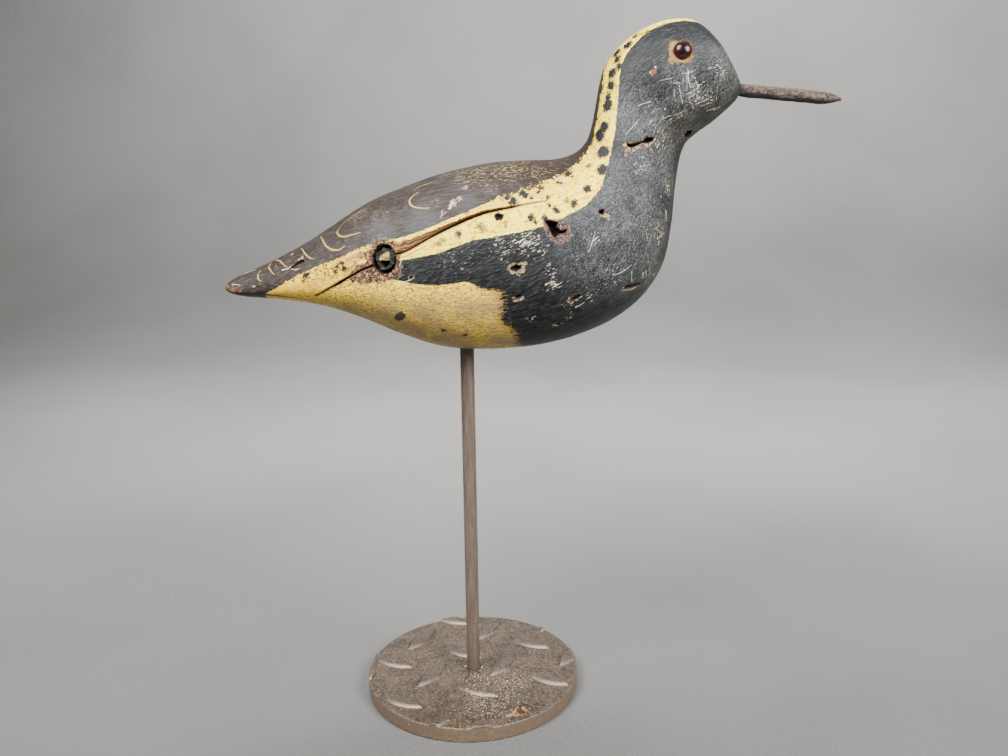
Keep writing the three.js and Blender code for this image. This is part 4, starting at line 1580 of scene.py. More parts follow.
    def back_colour(self, brush: Brushwork) -> Signal:
        """Mixes the grey-brown of the back.

        Args:
            brush: The material's nodes and noises.

        Returns:
            The colour.
        """
        kit, streaks, fine, mottle = brush.kit, brush.streaks, brush.fine, brush.mottle
        colour = kit.mix(streaks.rise(0.44, 0.62) * 0.6, self.back, self.back_light)
        colour = kit.mix(brush.broad.rise(0.45, 0.7) * 0.3, colour, self.back_haze)
        colour = kit.mix((streaks * 0.5 + mottle * 0.5).rise(0.56, 0.64) * 0.5, colour, self.back_dust)
        rubbed = kit.number("back_rub") * (fine * 0.8 + mottle * 0.2).rise(0.52, 0.60)
        colour = kit.mix(rubbed * 0.6, colour, self.back_rubbed)
        colour = kit.mix(kit.number("back_sheen") * streaks * 0.9, colour, self.back_sheen)
        return kit.mix(kit.number("shoulder") * (0.6 + fine * 0.45), colour, self.shoulder)

    def stripe_colour(self, brush: Brushwork) -> Signal:
        """Mixes the mottled cream yellow of the stripe and adds its dark dabs.

        Args:
            brush: The material's nodes and noises.

        Returns:
            The colour.
        """
        kit, place, mottle = brush.kit, brush.place, brush.mottle
        brushed = mottle * 0.6 + brush.streaks * 0.4
        colour = kit.mix(brushed.rise(0.50, 0.58), self.stripe, self.stripe_deep)
        colour = kit.mix(brushed.rise(0.48, 0.41), colour, self.stripe_light)
        toward_tail = kit.number("front_paint").rise(-2.0, -20.0)
        colour = kit.mix(toward_tail * (0.55 + mottle * 0.4), colour, self.stripe_tail)
        chalky = kit.noise(place, 0.28, 3.0, 0.7).rise(0.50, 0.60) * mottle.rise(0.42, 0.56)
        colour = kit.mix(chalky * 0.6, colour, self.stripe_chalk)
        specks = kit.noise(place, 0.85, 3.0, 0.75)
        colour = kit.mix(specks.rise(0.59, 0.66) * 0.75, colour, self.stripe_speck)
        many = kit.number("specked")
        colour = kit.mix((specks + many * 0.08).rise(0.60, 0.65) * many, colour, self.dark_speck)
        ragged = kit.noise(place, 1.6, 3.0, 0.75)
        dabs = (kit.number("stripe_dots") + brush.blots * 2.4 + (ragged - 0.5) * 5.0).rise(-0.2, 0.25)
        faded = kit.number("faded_dots").rise(0.0, 3.0)
        dark = kit.mix(faded, kit.mix(ragged.rise(0.50, 0.60), self.dab, self.dab_worn), self.dab_faded)
        return kit.mix(dabs * (1 - faded * ragged.rise(0.40, 0.55) * 0.4), colour, dark)

    def belly_colour(self, brush: Brushwork) -> Signal:
        """Mixes the stippled ochre of the belly, darker towards the bottom.

        Args:
            brush: The material's nodes and noises.

        Returns:
            The colour.
        """
        kit, stipple = brush.kit, brush.stipple
        colour = kit.mix(stipple.rise(0.50, 0.57), self.belly, self.belly_light)
        colour = kit.mix(stipple.rise(0.49, 0.42), colour, self.belly_dark)
        # darker towards the bottom of the belly
        low_down = kit.part(brush.flow, "Z").rise(-3.0, -20.0)
        low_dark = ((brush.broad + brush.streaks * 0.5).rise(0.50, 0.90) * 0.5 + 0.35) * low_down
        colour = kit.mix(low_dark, colour, self.belly_low_dark)
        dabs = (kit.number("belly_dots") + brush.blots * 2.6).rise(-0.1, 0.4)
        return kit.mix(dabs * 0.92, colour, self.belly_dab)

    def front_colour(self, brush: Brushwork) -> Signal:
        """Mixes the charcoal black of the head and front, combed by wear, with dust and a painted sheen where
        it bulges.

        Args:
            brush: The material's nodes and noises.

        Returns:
            The colour.
        """
        kit, place, broad, mottle = brush.kit, brush.place, brush.broad, brush.mottle
        combed = kit.noise(kit.stretched(kit.leaned(place, 30.0), 0.14), 1.5, 4.0, 0.75)
        brushed = kit.noise(kit.stretched(kit.leaned(place, 58.0), 0.16), 1.3, 4.0, 0.75)
        grit = kit.noise(place, 1.6, 3.0, 0.7)
        dust_and_sheen = kit.number("dust_and_sheen")
        colour = kit.mix(combed.rise(0.42, 0.62) * (1 - dust_and_sheen * 0.5), self.front, self.front_worn)
        # faint combed streaks in the painted sheen grey
        colour = kit.mix((combed * 0.7 + mottle * 0.3).rise(0.55, 0.62) * 0.1, colour, self.front_sheen)
        # painted sheen with some dust, lighter where the black bulges
        haze = (broad - 0.5) * 0.8 + (grit - 0.5) * 1.6 + (brushed - 0.5) * 0.9 + (mottle - 0.5) * 0.2 + 0.27
        colour = kit.mix(haze.rise(0.0, 1.0) * dust_and_sheen, colour, self.front_sheen)
        olive = kit.number("olive") * (0.25 + (grit - 0.5) * 2.0 + (brushed - 0.5) * 1.5).rise(0.0, 1.0)
        colour = kit.mix(olive, colour, self.front_olive)
        colour = kit.mix(grit.rise(0.66, 0.72) * (0.15 + dust_and_sheen * 0.4), colour, self.front_grit)
        return kit.mix((mottle * 0.5 + broad * 0.5).rise(0.58, 0.66) * 0.3, colour, self.front_brown)

    @staticmethod
    def flecks(brush: Brushwork, kind: Flecks) -> Signal:
        """Gives one kind of short marks, as many as the mesh asks for.

        Args:
            brush: The material's nodes and noises.
            kind: Which marks.

        Returns:
            Their mask.
        """
        kit = brush.kit
        name, lean = kind.value
        many = kit.number(name)
        lay = kit.stretched(kit.leaned(brush.place, lean), 0.2)
        return (kit.noise(lay, 2.3, 2.0, 0.6) + many * 0.11).rise(0.665, 0.70) * many.rise(0.0, 0.12)

    def drawn_marks(self, brush: Brushwork, colour: Signal, in_back: Signal) -> Signal:
        """Adds the painted feather strokes, dark painted lines, painted shade along the tail's lower edge,
        and the thin marks that wear has left.

        Args:
            brush: The material's nodes and noises.
            colour: The colour so far.
            in_back: A mask of the back's paint.

        Returns:
            The colour.
        """
        kit, blots, mottle = brush.kit, brush.blots, brush.mottle
        feather = kit.length(kit.vector(Mark.FEATHER.value)) + blots * 1.4
        colour = kit.mix(feather.rise(1.1, 0.7) * in_back * (0.55 + mottle * 0.7), colour, self.feather)
        colour = kit.mix(self.flecks(brush, Flecks.DASHES) * in_back * 0.8, colour, self.dash)
        stain = kit.length(kit.vector(Mark.STAIN.value)) + blots * 1.2
        colour = kit.mix(stain.rise(1.5, 0.5) * 0.85, colour, self.stain)
        # dark painted lines, and painted shade along the tail's lower edge
        grime = kit.length(kit.vector(Mark.GRIME.value)) + blots * 2.4
        colour = kit.mix(grime.rise(1.1, 0.6) * 0.92, colour, self.grime)
        scratch = kit.length(kit.vector(Mark.SCRATCH.value)) + blots * 1.2
        broken = kit.noise(brush.place, 2.2, 2.0, 0.6).rise(0.42, 0.52) * 0.85 + 0.15
        scuffs = self.flecks(brush, Flecks.LOW).over(self.flecks(brush, Flecks.STEEP))
        return kit.mix((scratch.rise(1.0, 0.5) * broken).over(scuffs), colour, self.scratch)

    def chips(self, brush: Brushwork, colour: Signal) -> tuple[Signal, Signal]:
        """Adds rubbed spots and chips.

        Args:
            brush: The material's nodes and noises.
            colour: The colour so far.

        Returns:
            The colour, and a mask of bare wood.
        """
        kit, place, blots, mottle = brush.kit, brush.place, brush.blots, brush.mottle
        worn = (kit.number("worn_dots") + blots * 4.0).rise(0.0, 0.35)
        bitty = kit.mix(mottle.rise(0.44, 0.56), *self.rubbed_spots)
        colour = kit.mix(worn * 0.9, colour, bitty)
        reddened = (kit.number("red_spot") + blots * 0.9).rise(0.45, 0.65)
        colour = kit.mix(reddened, colour, self.red_spot)

        grain = kit.noise(kit.stretched(place, 0.06), 1.6, 4.0, 0.65)
        wood = kit.mix(grain.rise(0.40, 0.60), self.wood, self.wood_dark)
        brown = kit.number("chip_brown")
        mauve = kit.mix(mottle.rise(0.46, 0.54), *self.mauves)
        mauve = kit.mix(kit.noise(place, 1.9, 3.0, 0.8).rise(0.54, 0.60), mauve, self.mauve_chalk)
        pale = kit.mix(mottle.rise(0.46, 0.54), *self.pale_chips)
        chip = kit.number("chip_bare") + blots * 2.6
        hole = kit.number("chip_hole")
        inner = kit.mix(brown, pale, mauve)
        bright_rim = kit.mix(mottle.rise(0.45, 0.55), self.primer, self.bright_rim)
        dull_rim = kit.mix(mottle.rise(0.45, 0.55), *self.dull_rims)
        rim = kit.mix(brown, bright_rim, dull_rim)
        colour = kit.mix(chip.rise(-0.05, 0.15), colour, kit.mix(chip.rise(0.15, 0.45), rim, inner))
        colour = kit.mix((hole + blots * 0.8).rise(-0.4, 0.0), colour, wood)
        # painted shade: the chips' holes painted near black
        return kit.mix(hole.rise(-0.15, 0.25), colour, self.hole), chip.rise(-0.1, 0.15)

    def putty_and_ends(self, brush: Brushwork, colour: Signal) -> tuple[Signal, Signal]:
        """Adds the putty round the eyes, the worn tail and the worn face.

        Args:
            brush: The material's nodes and noises.
            colour: The colour so far.

        Returns:
            The colour, and a mask of bare wood.
        """
        kit, blots, mottle = brush.kit, brush.blots, brush.mottle
        shade = kit.number("putty_shade")
        putty = kit.number("putty") + blots * 4.5 + (mottle - 0.5) * 3.5 - 0.2 - shade * 0.6
        tan = kit.mix(mottle.rise(0.44, 0.58), self.putty, self.putty_dark)
        tan = kit.mix(shade * 0.8, tan, self.putty_shade)
        putty = putty.rise(-0.4, 0.7)
        colour = kit.mix(putty, colour, tan)

        at_tail = kit.number("tail_wear")
        tail = (at_tail + blots * 2.0 + (mottle - 0.5) * 1.2).rise(0.5, 0.6)
        flaked = at_tail.rise(0.05, 0.3) * (blots + 0.5).rise(0.55, 0.60)
        colour = kit.mix(flaked * 0.8, colour, self.flaked)
        raw = kit.mix(mottle.rise(0.45, 0.56), *self.raw_tail)
        colour = kit.mix(tail, colour, raw)
        face = (kit.number("face_wear") + blots * 1.2).rise(0.45, 0.6)
        return kit.mix(face * 0.8, colour, self.worn_face), putty.over(tail)

    def torn_wood(self, brush: Brushwork, colour: Signal) -> tuple[Signal, Signal]:
        """Adds the bare wood around the knot, and the split.

        Args:
            brush: The material's nodes and noises.
            colour: The colour so far.

        Returns:
            The colour, and a mask of bare wood.
        """
        kit, place, blots, mottle = brush.kit, brush.place, brush.blots, brush.mottle
        patches = kit.noise(place, 0.75, 4.0, 0.8)
        around = kit.number("knot_bare") + (patches - 0.5) * 11.0 + 0.6
        torn = around.rise(0.1, 0.6)
        raw = kit.mix(patches.rise(0.46, 0.52), self.torn_brown, self.wood_pink)
        raw = kit.mix(patches.rise(0.54, 0.58), raw, self.torn_black)
        raw = kit.mix(patches.rise(0.45, 0.41), raw, self.torn_pale)
        colour = kit.mix(torn, colour, raw)
        outline = around.rise(-0.5, 0.0) * around.rise(0.7, 0.3)
        edging = kit.mix(mottle.rise(0.46, 0.54), self.torn_edge, self.primer)
        colour = kit.mix(outline * 0.35, colour, edging)

        lay = kit.vector("split_grain")
        fibres = kit.noise(kit.stretched(lay, 0.16, 1.8, 0.5), 1.0, 4.0, 0.75)
        slope = kit.part(lay, "Z")
        onward = kit.part(lay, "X").rise(38.0, 48.0)
        bevel = (kit.number("split_bevel") + blots * 1.5).rise(0.0, 0.3)
        tan = kit.mix(fibres.rise(0.46, 0.54), *self.split_tans)
        tan = kit.mix(fibres.rise(0.56, 0.61), tan, self.split_black)
        brown = kit.mix(fibres.rise(0.44, 0.56), *self.split_browns)
        tan = kit.mix(onward, tan, brown)
        # painted shade toward the bottom of the bevel, under the overhanging lip
        deep = kit.mix(fibres.rise(0.42, 0.58), *self.split_deeps)
        colour = kit.mix(bevel, colour, kit.mix((slope + (fibres - 0.5)).rise(0.70, 1.0), tan, deep))
        line = kit.number("split_line") + blots * 0.7
        colour = kit.mix(line.rise(-1.0, -0.3) * 0.75, colour, self.line_edge)
        # painted shade: the split's narrow crack painted near black
        return kit.mix(line.rise(-0.35, 0.05), colour, self.line), torn.over(bevel)

    def knot(self, brush: Brushwork, colour: Signal) -> Signal:
        """Adds the knot's rotten core in its hole, with painted shade in the gaps around and under the core
        and a painted shadow around the rim.

        Args:
            brush: The material's nodes and noises.
            colour: The colour so far.

        Returns:
            The colour.
        """
        kit, place, blots = brush.kit, brush.place, brush.blots
        rim = kit.number("knot_rim")
        core = kit.number("knot_core") + blots * 2.0
        rotten = kit.noise(place, 1.3, 4.0, 0.8)
        olive = kit.mix(rotten.rise(0.47, 0.55), *self.core_olives)
        olive = kit.mix(rotten.rise(0.58, 0.63), olive, self.core_light)
        # painted shade in the gap between the core and the hole's wall
        body = kit.mix(core.rise(-0.3, 0.1), self.core_edge, olive)
        pale = (kit.number("knot_pale") + blots * 2.0).rise(-0.1, 0.2)
        body = kit.mix(pale, body, kit.mix(rotten.rise(0.45, 0.55), *self.core_pales))
        # painted shade in the gap under the core's pale facet
        gap = (kit.number("knot_void") + blots).rise(-0.1, 0.2)
        body = kit.mix(gap, body, self.void)
        edge = (rim + blots * 1.4).rise(-0.15, 0.1)
        colour = kit.mix(edge, colour, body)
        shadow = (rim + blots * 0.8).rise(-0.6, -0.25) * (1 - edge)
        return kit.mix(shadow * 0.6, colour, self.knot_shadow)


# The eyes


@dataclass(frozen=True)
class EyeSizes:
    """A glass eye, its place on the right side, and the ring of putty around it."""

    diameter: float = 7.4
    dome_height: float = 2.5
    seat_depth: float = 2.6
    rim_lap: float = 0.35
    place: Place = (0.783 * 25, 18)
    putty: Outline = (
        (-4.8, 4.2), (-5.6, 2.8), (-5.8, -1.0), (-5.9, -4.2), (-4.6, -5.1), (-2.8, -4.9), (1.5, -5.2),
        (3.6, -4.2), (4.6, -2.6), (5.0, -0.9), (5.1, 1.4), (4.4, 2.9), (2.9, 4.1), (0.1, 4.8), (-2.0, 4.6),
        (-3.5, 4.6),
    )

    def seat(self, form: CarvedForm, side: Side) -> tuple[Array, Array]:
        """Gives the middle of an eye's seat on the skin and its outward direction."""
        turn = self.place[1] if side is Side.RIGHT else 180 - self.place[1]
        return form.at((self.place[0], turn))


@dataclass(frozen=True)
class EyeGlass:
    """Dark red-brown glass."""

    pupil: Colour = (0.003, 0.0015, 0.0015)
    iris: Colour = (0.022, 0.004, 0.0045)
    painted_glow: Colour = (0.042, 0.011, 0.008)

    def material(self) -> Material:
        """Mixes glass that is darkest in the middle, with a painted glow low down where light seems to shine
        through it.

        Returns:
            The finished material.
        """
        kit = NodeKit("eye_glass_finish")
        share = kit.number("from_middle")
        clouds = kit.noise(kit.position(), 0.9, 3.0, 0.6)
        colour = kit.mix((share + (clouds - 0.5) * 0.3).rise(0.45, 0.85), self.pupil, self.iris)
        # painted light: the lower glass glows as if lit through
        colour = kit.mix((kit.number("low") + (clouds - 0.5) * 0.5).rise(0.45, 0.95) * 0.8, colour, self.painted_glow)
        roughness = 0.24 + clouds.rise(0.45, 0.8) * 0.08
        return kit.surface({"Base Color": colour, "Roughness": roughness, "IOR": 1.5,
                            "Specular IOR Level": 0.40, "Specular Tint": (1.0, 0.70, 0.74, 1.0)})


@dataclass
class Eye:
    """One glass eye in its socket."""

    side: Side
    sizes: EyeSizes
    form: CarvedForm
    around: int = 64
    steps: int = 20
    rim_step: float = 0.02

    def build(self, material: Material) -> Object:
        """Makes the eye.

        Args:
            material: The eyes' glass.

        Returns:
            The finished piece.
        """
        radius = self.sizes.diameter / 2
        stem = radius - self.sizes.rim_lap
        low = -self.sizes.seat_depth
        rise = self.sizes.dome_height - self.rim_step
        profile = [(0.05, low), (stem * 0.6, low), (stem * 0.96, low), (stem, low + 0.15)]
        profile += [(stem, -self.rim_step), (radius, self.rim_step)]
        for step in range(1, self.steps):
            angle = (math.pi / 2) * step / self.steps
            profile.append((radius * math.cos(angle), self.rim_step + rise * math.sin(angle)))
        profile.append((radius * 0.02, self.sizes.dome_height))
        name = f"eye_{self.side.name.lower()}"
        mesh, points = ringed_mesh(name, turned_rings(profile, self.around))
        set_numbers(mesh, "from_middle", np.hypot(points[:, 0], points[:, 1]) / radius)
        centre, outward = self.sizes.seat(self.form, self.side)
        turn = Vector((0, 0, 1)).rotation_difference(Vector(outward)).to_matrix()
        heights = np.array([(turn @ Vector(point)).z for point in points.tolist()])
        # low: where the painted glow goes
        set_numbers(mesh, "low", smooth_step(0.1, -1.0, heights / radius))
        mesh.transform(Matrix.Translation(Vector(centre) * MM) @ turn.to_4x4())
        return add_piece(f"glass_{name}", mesh, name, material)


# The bill


@dataclass(frozen=True)
class BillSizes:
    """The spike that makes the bill."""

    reach: float = 42.9
    thickness: float = 5.4
    point_length: float = 10.0
    bluntness: float = 0.75
    droop: float = 5.0
    depth_in_face: float = 14.0
    below_face_middle: float = 1.3

    def axis(self, form: CarvedForm) -> tuple[Array, Array]:
        """Places the bill.

        Args:
            form: The bird's skin.

        Returns:
            The middle of the bill's root, and its tip.
        """
        root = form.skin(np.array([float(form.last)]), np.array([0.0]))[0]
        root[2] -= self.below_face_middle
        lean = math.radians(self.droop)
        return root, root + self.reach * np.array([math.cos(lean), 0, -math.sin(lean)])


@dataclass(frozen=True)
class RustyIron:
    """Flaking red-brown rust."""

    dark: Colour = (0.0050, 0.0024, 0.0018)
    red: Colour = (0.060, 0.029, 0.016)
    pale: Colour = (0.165, 0.108, 0.066)
    scale: Colour = (0.060, 0.054, 0.046)

    def material(self) -> Material:
        """Mixes the rust, with a painted highlight on its top and painted shade under it.

        Returns:
            The finished material.
        """
        kit = NodeKit("rust")
        place = kit.stretched(kit.position(), 0.55)
        broad = kit.noise(place, 0.45, 4.0, 0.7)
        fine = kit.noise(place, 1.4, 4.0, 0.75)
        flakes = kit.cells(place, 0.6)
        hollow = kit.number("hollow")
        colour = kit.mix((broad * 0.5 + fine * 0.5).rise(0.46, 0.54), self.dark, self.red)
        colour = kit.mix((fine * 0.8 + broad * 0.2).rise(0.54, 0.62) * 0.8, colour, self.pale)
        colour = kit.mix(flakes.rise(0.42, 0.3) * broad.rise(0.50, 0.56) * 0.5, colour, self.scale)
        # painted highlight: the top is lightened as if lit from above
        colour = kit.mix(kit.number("upper") * (fine * 0.8), colour, self.pale)
        # painted shade under the spike, over the real dark rust in its pits
        colour = kit.mix(hollow.rise(0.1, 0.8).over(kit.number("under")) * 0.9, colour, self.dark)
        height = fine * 0.7 + flakes * 0.5
        return kit.surface({"Base Color": colour, "Roughness": 0.5 + fine * 0.3, "Metallic": 0.15,
                            "Normal": kit.bump(height, 0.6, 1.0)})


@dataclass
class Bill:
    """The rusted iron spike in the bird's face."""

    sizes: BillSizes
    form: CarvedForm
    rings: int = 130
    around: int = 56
    squareness: float = 2.7
    pitting: float = 0.20

    def build(self) -> Object:
        """Makes the spike, pitted by rust, with a small broken nub at its point.

        Returns:
            The finished piece.
        """
        sizes = self.sizes
        turn = np.linspace(0, 2 * math.pi, self.around, endpoint=False)
        along = np.linspace(-sizes.depth_in_face, sizes.reach, self.rings)
        rings = []
        for height in along:
            share = max(0.0, (height - sizes.reach + sizes.point_length) / sizes.point_length)
            thin = max((1 - min(share, 1) ** 2) ** sizes.bluntness, 0.30 if share > 0.78 else 0.13)
            radius = sizes.thickness / 2 * thin
            corner = (np.abs(np.cos(turn)) ** self.squareness + np.abs(np.sin(turn)) ** self.squareness)
            reach = radius * corner ** (-1 / self.squareness)
            reach = radius + (reach - radius) * 0.45
            level = np.full(self.around, height)
            rings.append(np.column_stack([np.cos(turn) * reach, np.sin(turn) * reach, level]))
        mesh, points = ringed_mesh("bill", rings)
        stretched = points * np.array([1.0, 1.0, 0.55])
        coarse = lumps(stretched, 2.4, 71)
        fine = lumps(stretched, 0.9, 72)
        hollow = np.clip(-coarse - 0.25, 0, 1)
        change = self.pitting * (coarse + 0.5 * fine) - 0.3 * hollow
        shrink = np.hypot(points[:, 0], points[:, 1])
        scale = np.where(shrink > 0.3, 1 + change / np.maximum(shrink, 0.3), 1)
        scale = np.minimum(scale, 1.04)
        points[:, :2] *= scale[:, None]
        move_points(mesh, points)
        set_numbers(mesh, "hollow", hollow)
        root, tip = sizes.axis(self.form)
        direction = Vector(tip - root).normalized()
        pose = Vector((0, 0, 1)).rotation_difference(direction).to_matrix().to_4x4()
        mesh.transform(Matrix.Translation(Vector(root) * MM) @ pose)
        mesh.update()
        placed = np.array([vert.co.z for vert in mesh.vertices]) / MM
        axis_height = root[2] + (tip[2] - root[2]) * points[:, 2] / sizes.reach
        rise = (placed - axis_height) / (sizes.thickness / 2)
        # under and upper: masks for the painted shade below the spike and the painted highlight on its top
        set_numbers(mesh, "under", smooth_step(0.0, -0.7, rise))
        set_numbers(mesh, "upper", smooth_step(0.45, 0.95, rise))
        return add_piece("rusty_bill", mesh, "bill", RustyIron().material())


# The stand


@dataclass(frozen=True)
class PaintedSteel:
    """Thin grey-brown paint on steel, rubbed and specked, with a painted highlight on the foot's lugs and
    painted light on its side.
    """

    paint: Colour = (0.118, 0.083, 0.061)
    dark: Colour = (0.066, 0.046, 0.034)
    plate: Colour = (0.057, 0.038, 0.0255)
    plate_dark: Colour = (0.018, 0.012, 0.008)
    # plate_side_lit: painted light, the side painted lighter than the top for the light falling on it
    plate_side_lit: Colour = (0.118, 0.080, 0.053)
    # rubbed: the painted highlight along the lugs' front edges
    rubbed: Colour = (0.30, 0.208, 0.138)
    rust: Colour = (0.20, 0.078, 0.014)
    rod_speck: Colour = (0.26, 0.20, 0.16)
    rod_dark_ends: Colour = (0.050, 0.034, 0.025)
    plate_speck: Colour = (0.17, 0.120, 0.082)
    lug_olive: Colour = (0.042, 0.036, 0.027)
    rim_rubbed: Colour = (0.12, 0.085, 0.058)
    crumb: Colour = (0.68, 0.55, 0.38)
    stain: Colour = (0.17, 0.125, 0.055)
    rust_light: Colour = (0.45, 0.33, 0.18)
    rust_pit: Colour = (0.016, 0.008, 0.003)
    flake: Colour = (0.40, 0.33, 0.19)

    def rod_material(self) -> Material:
        """Mixes the rod's paint, streaked along its length and darker at both ends: near the foot, and as
        painted shadow under the belly.

        Returns:
            The finished material.
        """
        kit = NodeKit("rod_paint")
        place = kit.position()
        streaks = kit.noise(kit.stretched(place, 1.0, 1.0, 0.05), 1.3, 4.0, 0.6)
        specks = kit.noise(place, 1.6, 3.0, 0.6)
        colour = kit.mix(streaks.rise(0.35, 0.7), self.dark, self.paint)
        colour = kit.mix(specks.rise(0.5, 0.75) * 0.4, colour, self.rod_speck)
        # darker near the foot, and a painted shadow just under the belly
        colour = kit.mix(kit.number("end") * (0.25 + specks * 0.7), colour, self.rod_dark_ends)
        height = specks * 0.6 + streaks * 0.4
        return kit.surface({"Base Color": colour, "Roughness": 0.42 + specks * 0.18, "Metallic": 0.15,
                            "Normal": kit.bump(height, 0.08, 0.6)})

    def plate_material(self) -> Material:
        """Mixes the foot's paint, with a painted highlight along its lugs' front edges, crumbs of bare metal
        and a rust spot.

        Returns:
            The finished material.
        """
        kit = NodeKit("plate_paint")
        place = kit.position()
        broad = kit.noise(place, 0.12, 3.0, 0.55)
        mottle = kit.noise(place, 0.6, 4.0, 0.75)
        fine = kit.noise(place, 1.5, 3.0, 0.7)
        colour = kit.mix((mottle * 0.7 + broad * 0.3).rise(0.45, 0.55), self.plate_dark, self.plate)
        colour = kit.mix(fine.rise(0.54, 0.62) * 0.6, colour, self.plate_speck)
        # painted light: the plate's side lighter than its top
        colour = kit.mix(kit.number("side") * (0.6 + mottle * 0.6), colour, self.plate_side_lit)
        olive = kit.number("lug") * (0.15 + broad * 0.4)
        colour = kit.mix(olive, colour, self.lug_olive)
        # painted highlight along the lugs' front edges, where light catches them
        edge = kit.number("lug_highlight") * (0.6 + fine * 0.5)
        colour = kit.mix(edge, colour, self.rubbed)
        rim = kit.number("rim") * mottle.rise(0.40, 0.60)
        colour = kit.mix(rim * 0.5, colour, self.rim_rubbed)
        grit = kit.noise(place, 1.3, 2.0, 0.55)
        many = kit.number("crumbs")
        crumbs = (grit + many * 0.06).rise(0.67, 0.70) * (0.3 + many * 0.7)
        colour = kit.mix(crumbs, colour, self.crumb)
        stain = kit.number("stained") * (mottle * 0.6 + fine * 0.4).rise(0.45, 0.60)
        colour = kit.mix(stain * 0.7, colour, self.stain)
        spot = (kit.number("rust") + (mottle - 0.5) * 1.8).rise(0.40, 0.52)
        rust = kit.mix(fine.rise(0.56, 0.62), self.rust, self.rust_light)
        pitted = kit.noise(place, 0.4, 3.0, 0.6).rise(0.45, 0.53)
        colour = kit.mix(spot, colour, kit.mix(pitted, self.rust_pit, rust))
        flakes = (kit.number("flake") + (mottle - 0.5) * 1.6).rise(0.5, 0.62)
        colour = kit.mix(flakes, colour, self.flake)
        roughness = 0.36 + fine * 0.2 + spot * 0.3
        height = mottle * 0.6 + fine * 0.4 + crumbs * 0.5
        return kit.surface({"Base Color": colour, "Roughness": roughness, "Metallic": 0.2,
                            "Normal": kit.bump(height, 0.4, 0.9)})


@dataclass(frozen=True)
class RodSizes:
    """The rod, its two ends and how deep they sit."""

    diameter: float = 6.35
    chamfer: float = 0.5
    depth_in_foot: float = 5.0
    depth_in_body: float = 40.0


@dataclass
class Rod:
    """The steel rod that holds the bird up."""

    sizes: RodSizes
    foot: "FootSizes"
    form: CarvedForm
    around: int = 64
    rings: int = 90

    def build(self) -> Object:
        """Makes the rod.

        Returns:
            The finished piece.
        """
        radius = self.sizes.diameter / 2
        low = self.foot.thickness - self.sizes.depth_in_foot + FIT_CLEARANCE
        high = self.form.belly_height + self.sizes.depth_in_body - FIT_CLEARANCE
        cut = self.sizes.chamfer
        profile = [(0.1, low), (radius - cut, low), (radius, low + cut)]
        profile += [(radius, height) for height in np.linspace(low + cut, high - cut, self.rings)[1:-1]]
        profile += [(radius, high - cut), (radius - cut, high), (0.1, high)]
        mesh, points = ringed_mesh("rod", turned_rings(profile, self.around))
        wear = 1 - 0.006 * (1 + lumps(points * np.array([1, 1, 0.2]), 3.0, 81))
        points[:, :2] *= wear[:, None]
        move_points(mesh, points)
        from_foot = points[:, 2] - self.foot.thickness
        from_belly = self.form.belly_height - points[:, 2]
        # end: darker near the foot, and a painted shadow just under the belly
        set_numbers(mesh, "end", smooth_step(16.0, 0.0, from_foot) + 0.4 * smooth_step(8.0, 0.0, from_belly))
        return add_piece("steel_rod", mesh, "rod", PaintedSteel().rod_material())


@dataclass(frozen=True)
class FootSizes:
    """The round of tread plate, with lugs in two families at right angles."""

    diameter: float = 101.6
    thickness: float = 7.0
    edge_radius: float = 0.6
    lug_length: float = 25.0
    lug_width: float = 8.6
    lug_height: float = 1.2
    lug_slope: float = 1.4
    lug_spacing: float = 35.0
    pattern_turn: float = 15.0
    lug_turn: float = -30.0
    pattern_start: Offset = (2.0, -19.6)

    def lugs(self) -> list[tuple[float, float, float]]:
        """Lists the lugs that reach the plate.

        Returns:
            Each lug's middle x and y, and its turn in degrees.
        """
        turn = math.radians(self.pattern_turn)
        step_u = self.lug_spacing * np.array([math.cos(turn), math.sin(turn)])
        step_v = self.lug_spacing * np.array([math.sin(turn), -math.cos(turn)])
        reach = (self.diameter + self.lug_length) / 2
        found = []
        for u in range(-3, 4):
            for v in range(-3, 4):
                for family in (0, 1):
                    centre = np.array(self.pattern_start) + step_u * (u + family / 2)
                    centre = centre + step_v * (v + family / 2)
                    if np.hypot(*centre) < reach:
                        found.append((*centre, self.lug_turn + 90 * family))
        return found

    def lug_depth(self, flat: Array) -> tuple[Array, Array]:
        """Measures flat points against the lugs.

        Args:
            flat: Points [x, y] on the plate.

        Returns:
            The distance inside the nearest lug's outline, and how strong the painted highlight on its front
            edge is there.
        """
        half_length, half_width = self.lug_length / 2, self.lug_width / 2
        radius = (half_length**2 + half_width**2) / (2 * half_width)
        depth = np.full(len(flat), -50.0)
        lug_highlight = np.zeros(len(flat))
        for x, y, degrees in self.lugs():
            turn = math.radians(degrees)
            spin = np.array([[math.cos(turn), -math.sin(turn)], [math.sin(turn), math.cos(turn)]])
            local = (flat - np.array([x, y])) @ spin
            upper = radius - lengths(local - np.array([0, half_width - radius]))
            lower = radius - lengths(local - np.array([0, radius - half_width]))
            depth = np.maximum(depth, np.minimum(upper, lower))
            # a painted highlight on each lug's front edge, stronger toward one end
            on_front = smooth_step(-0.1, 0.2, lower) * smooth_step(1.0, 0.5, lower) * (upper > lower)
            share = local[:, 0] / half_length
            first = smooth_step(-0.8, 0.8, share) if degrees < 0 else 0.36 * smooth_step(0.1, -0.75, share)
            lug_highlight = np.maximum(lug_highlight, on_front * first)
        return depth, lug_highlight


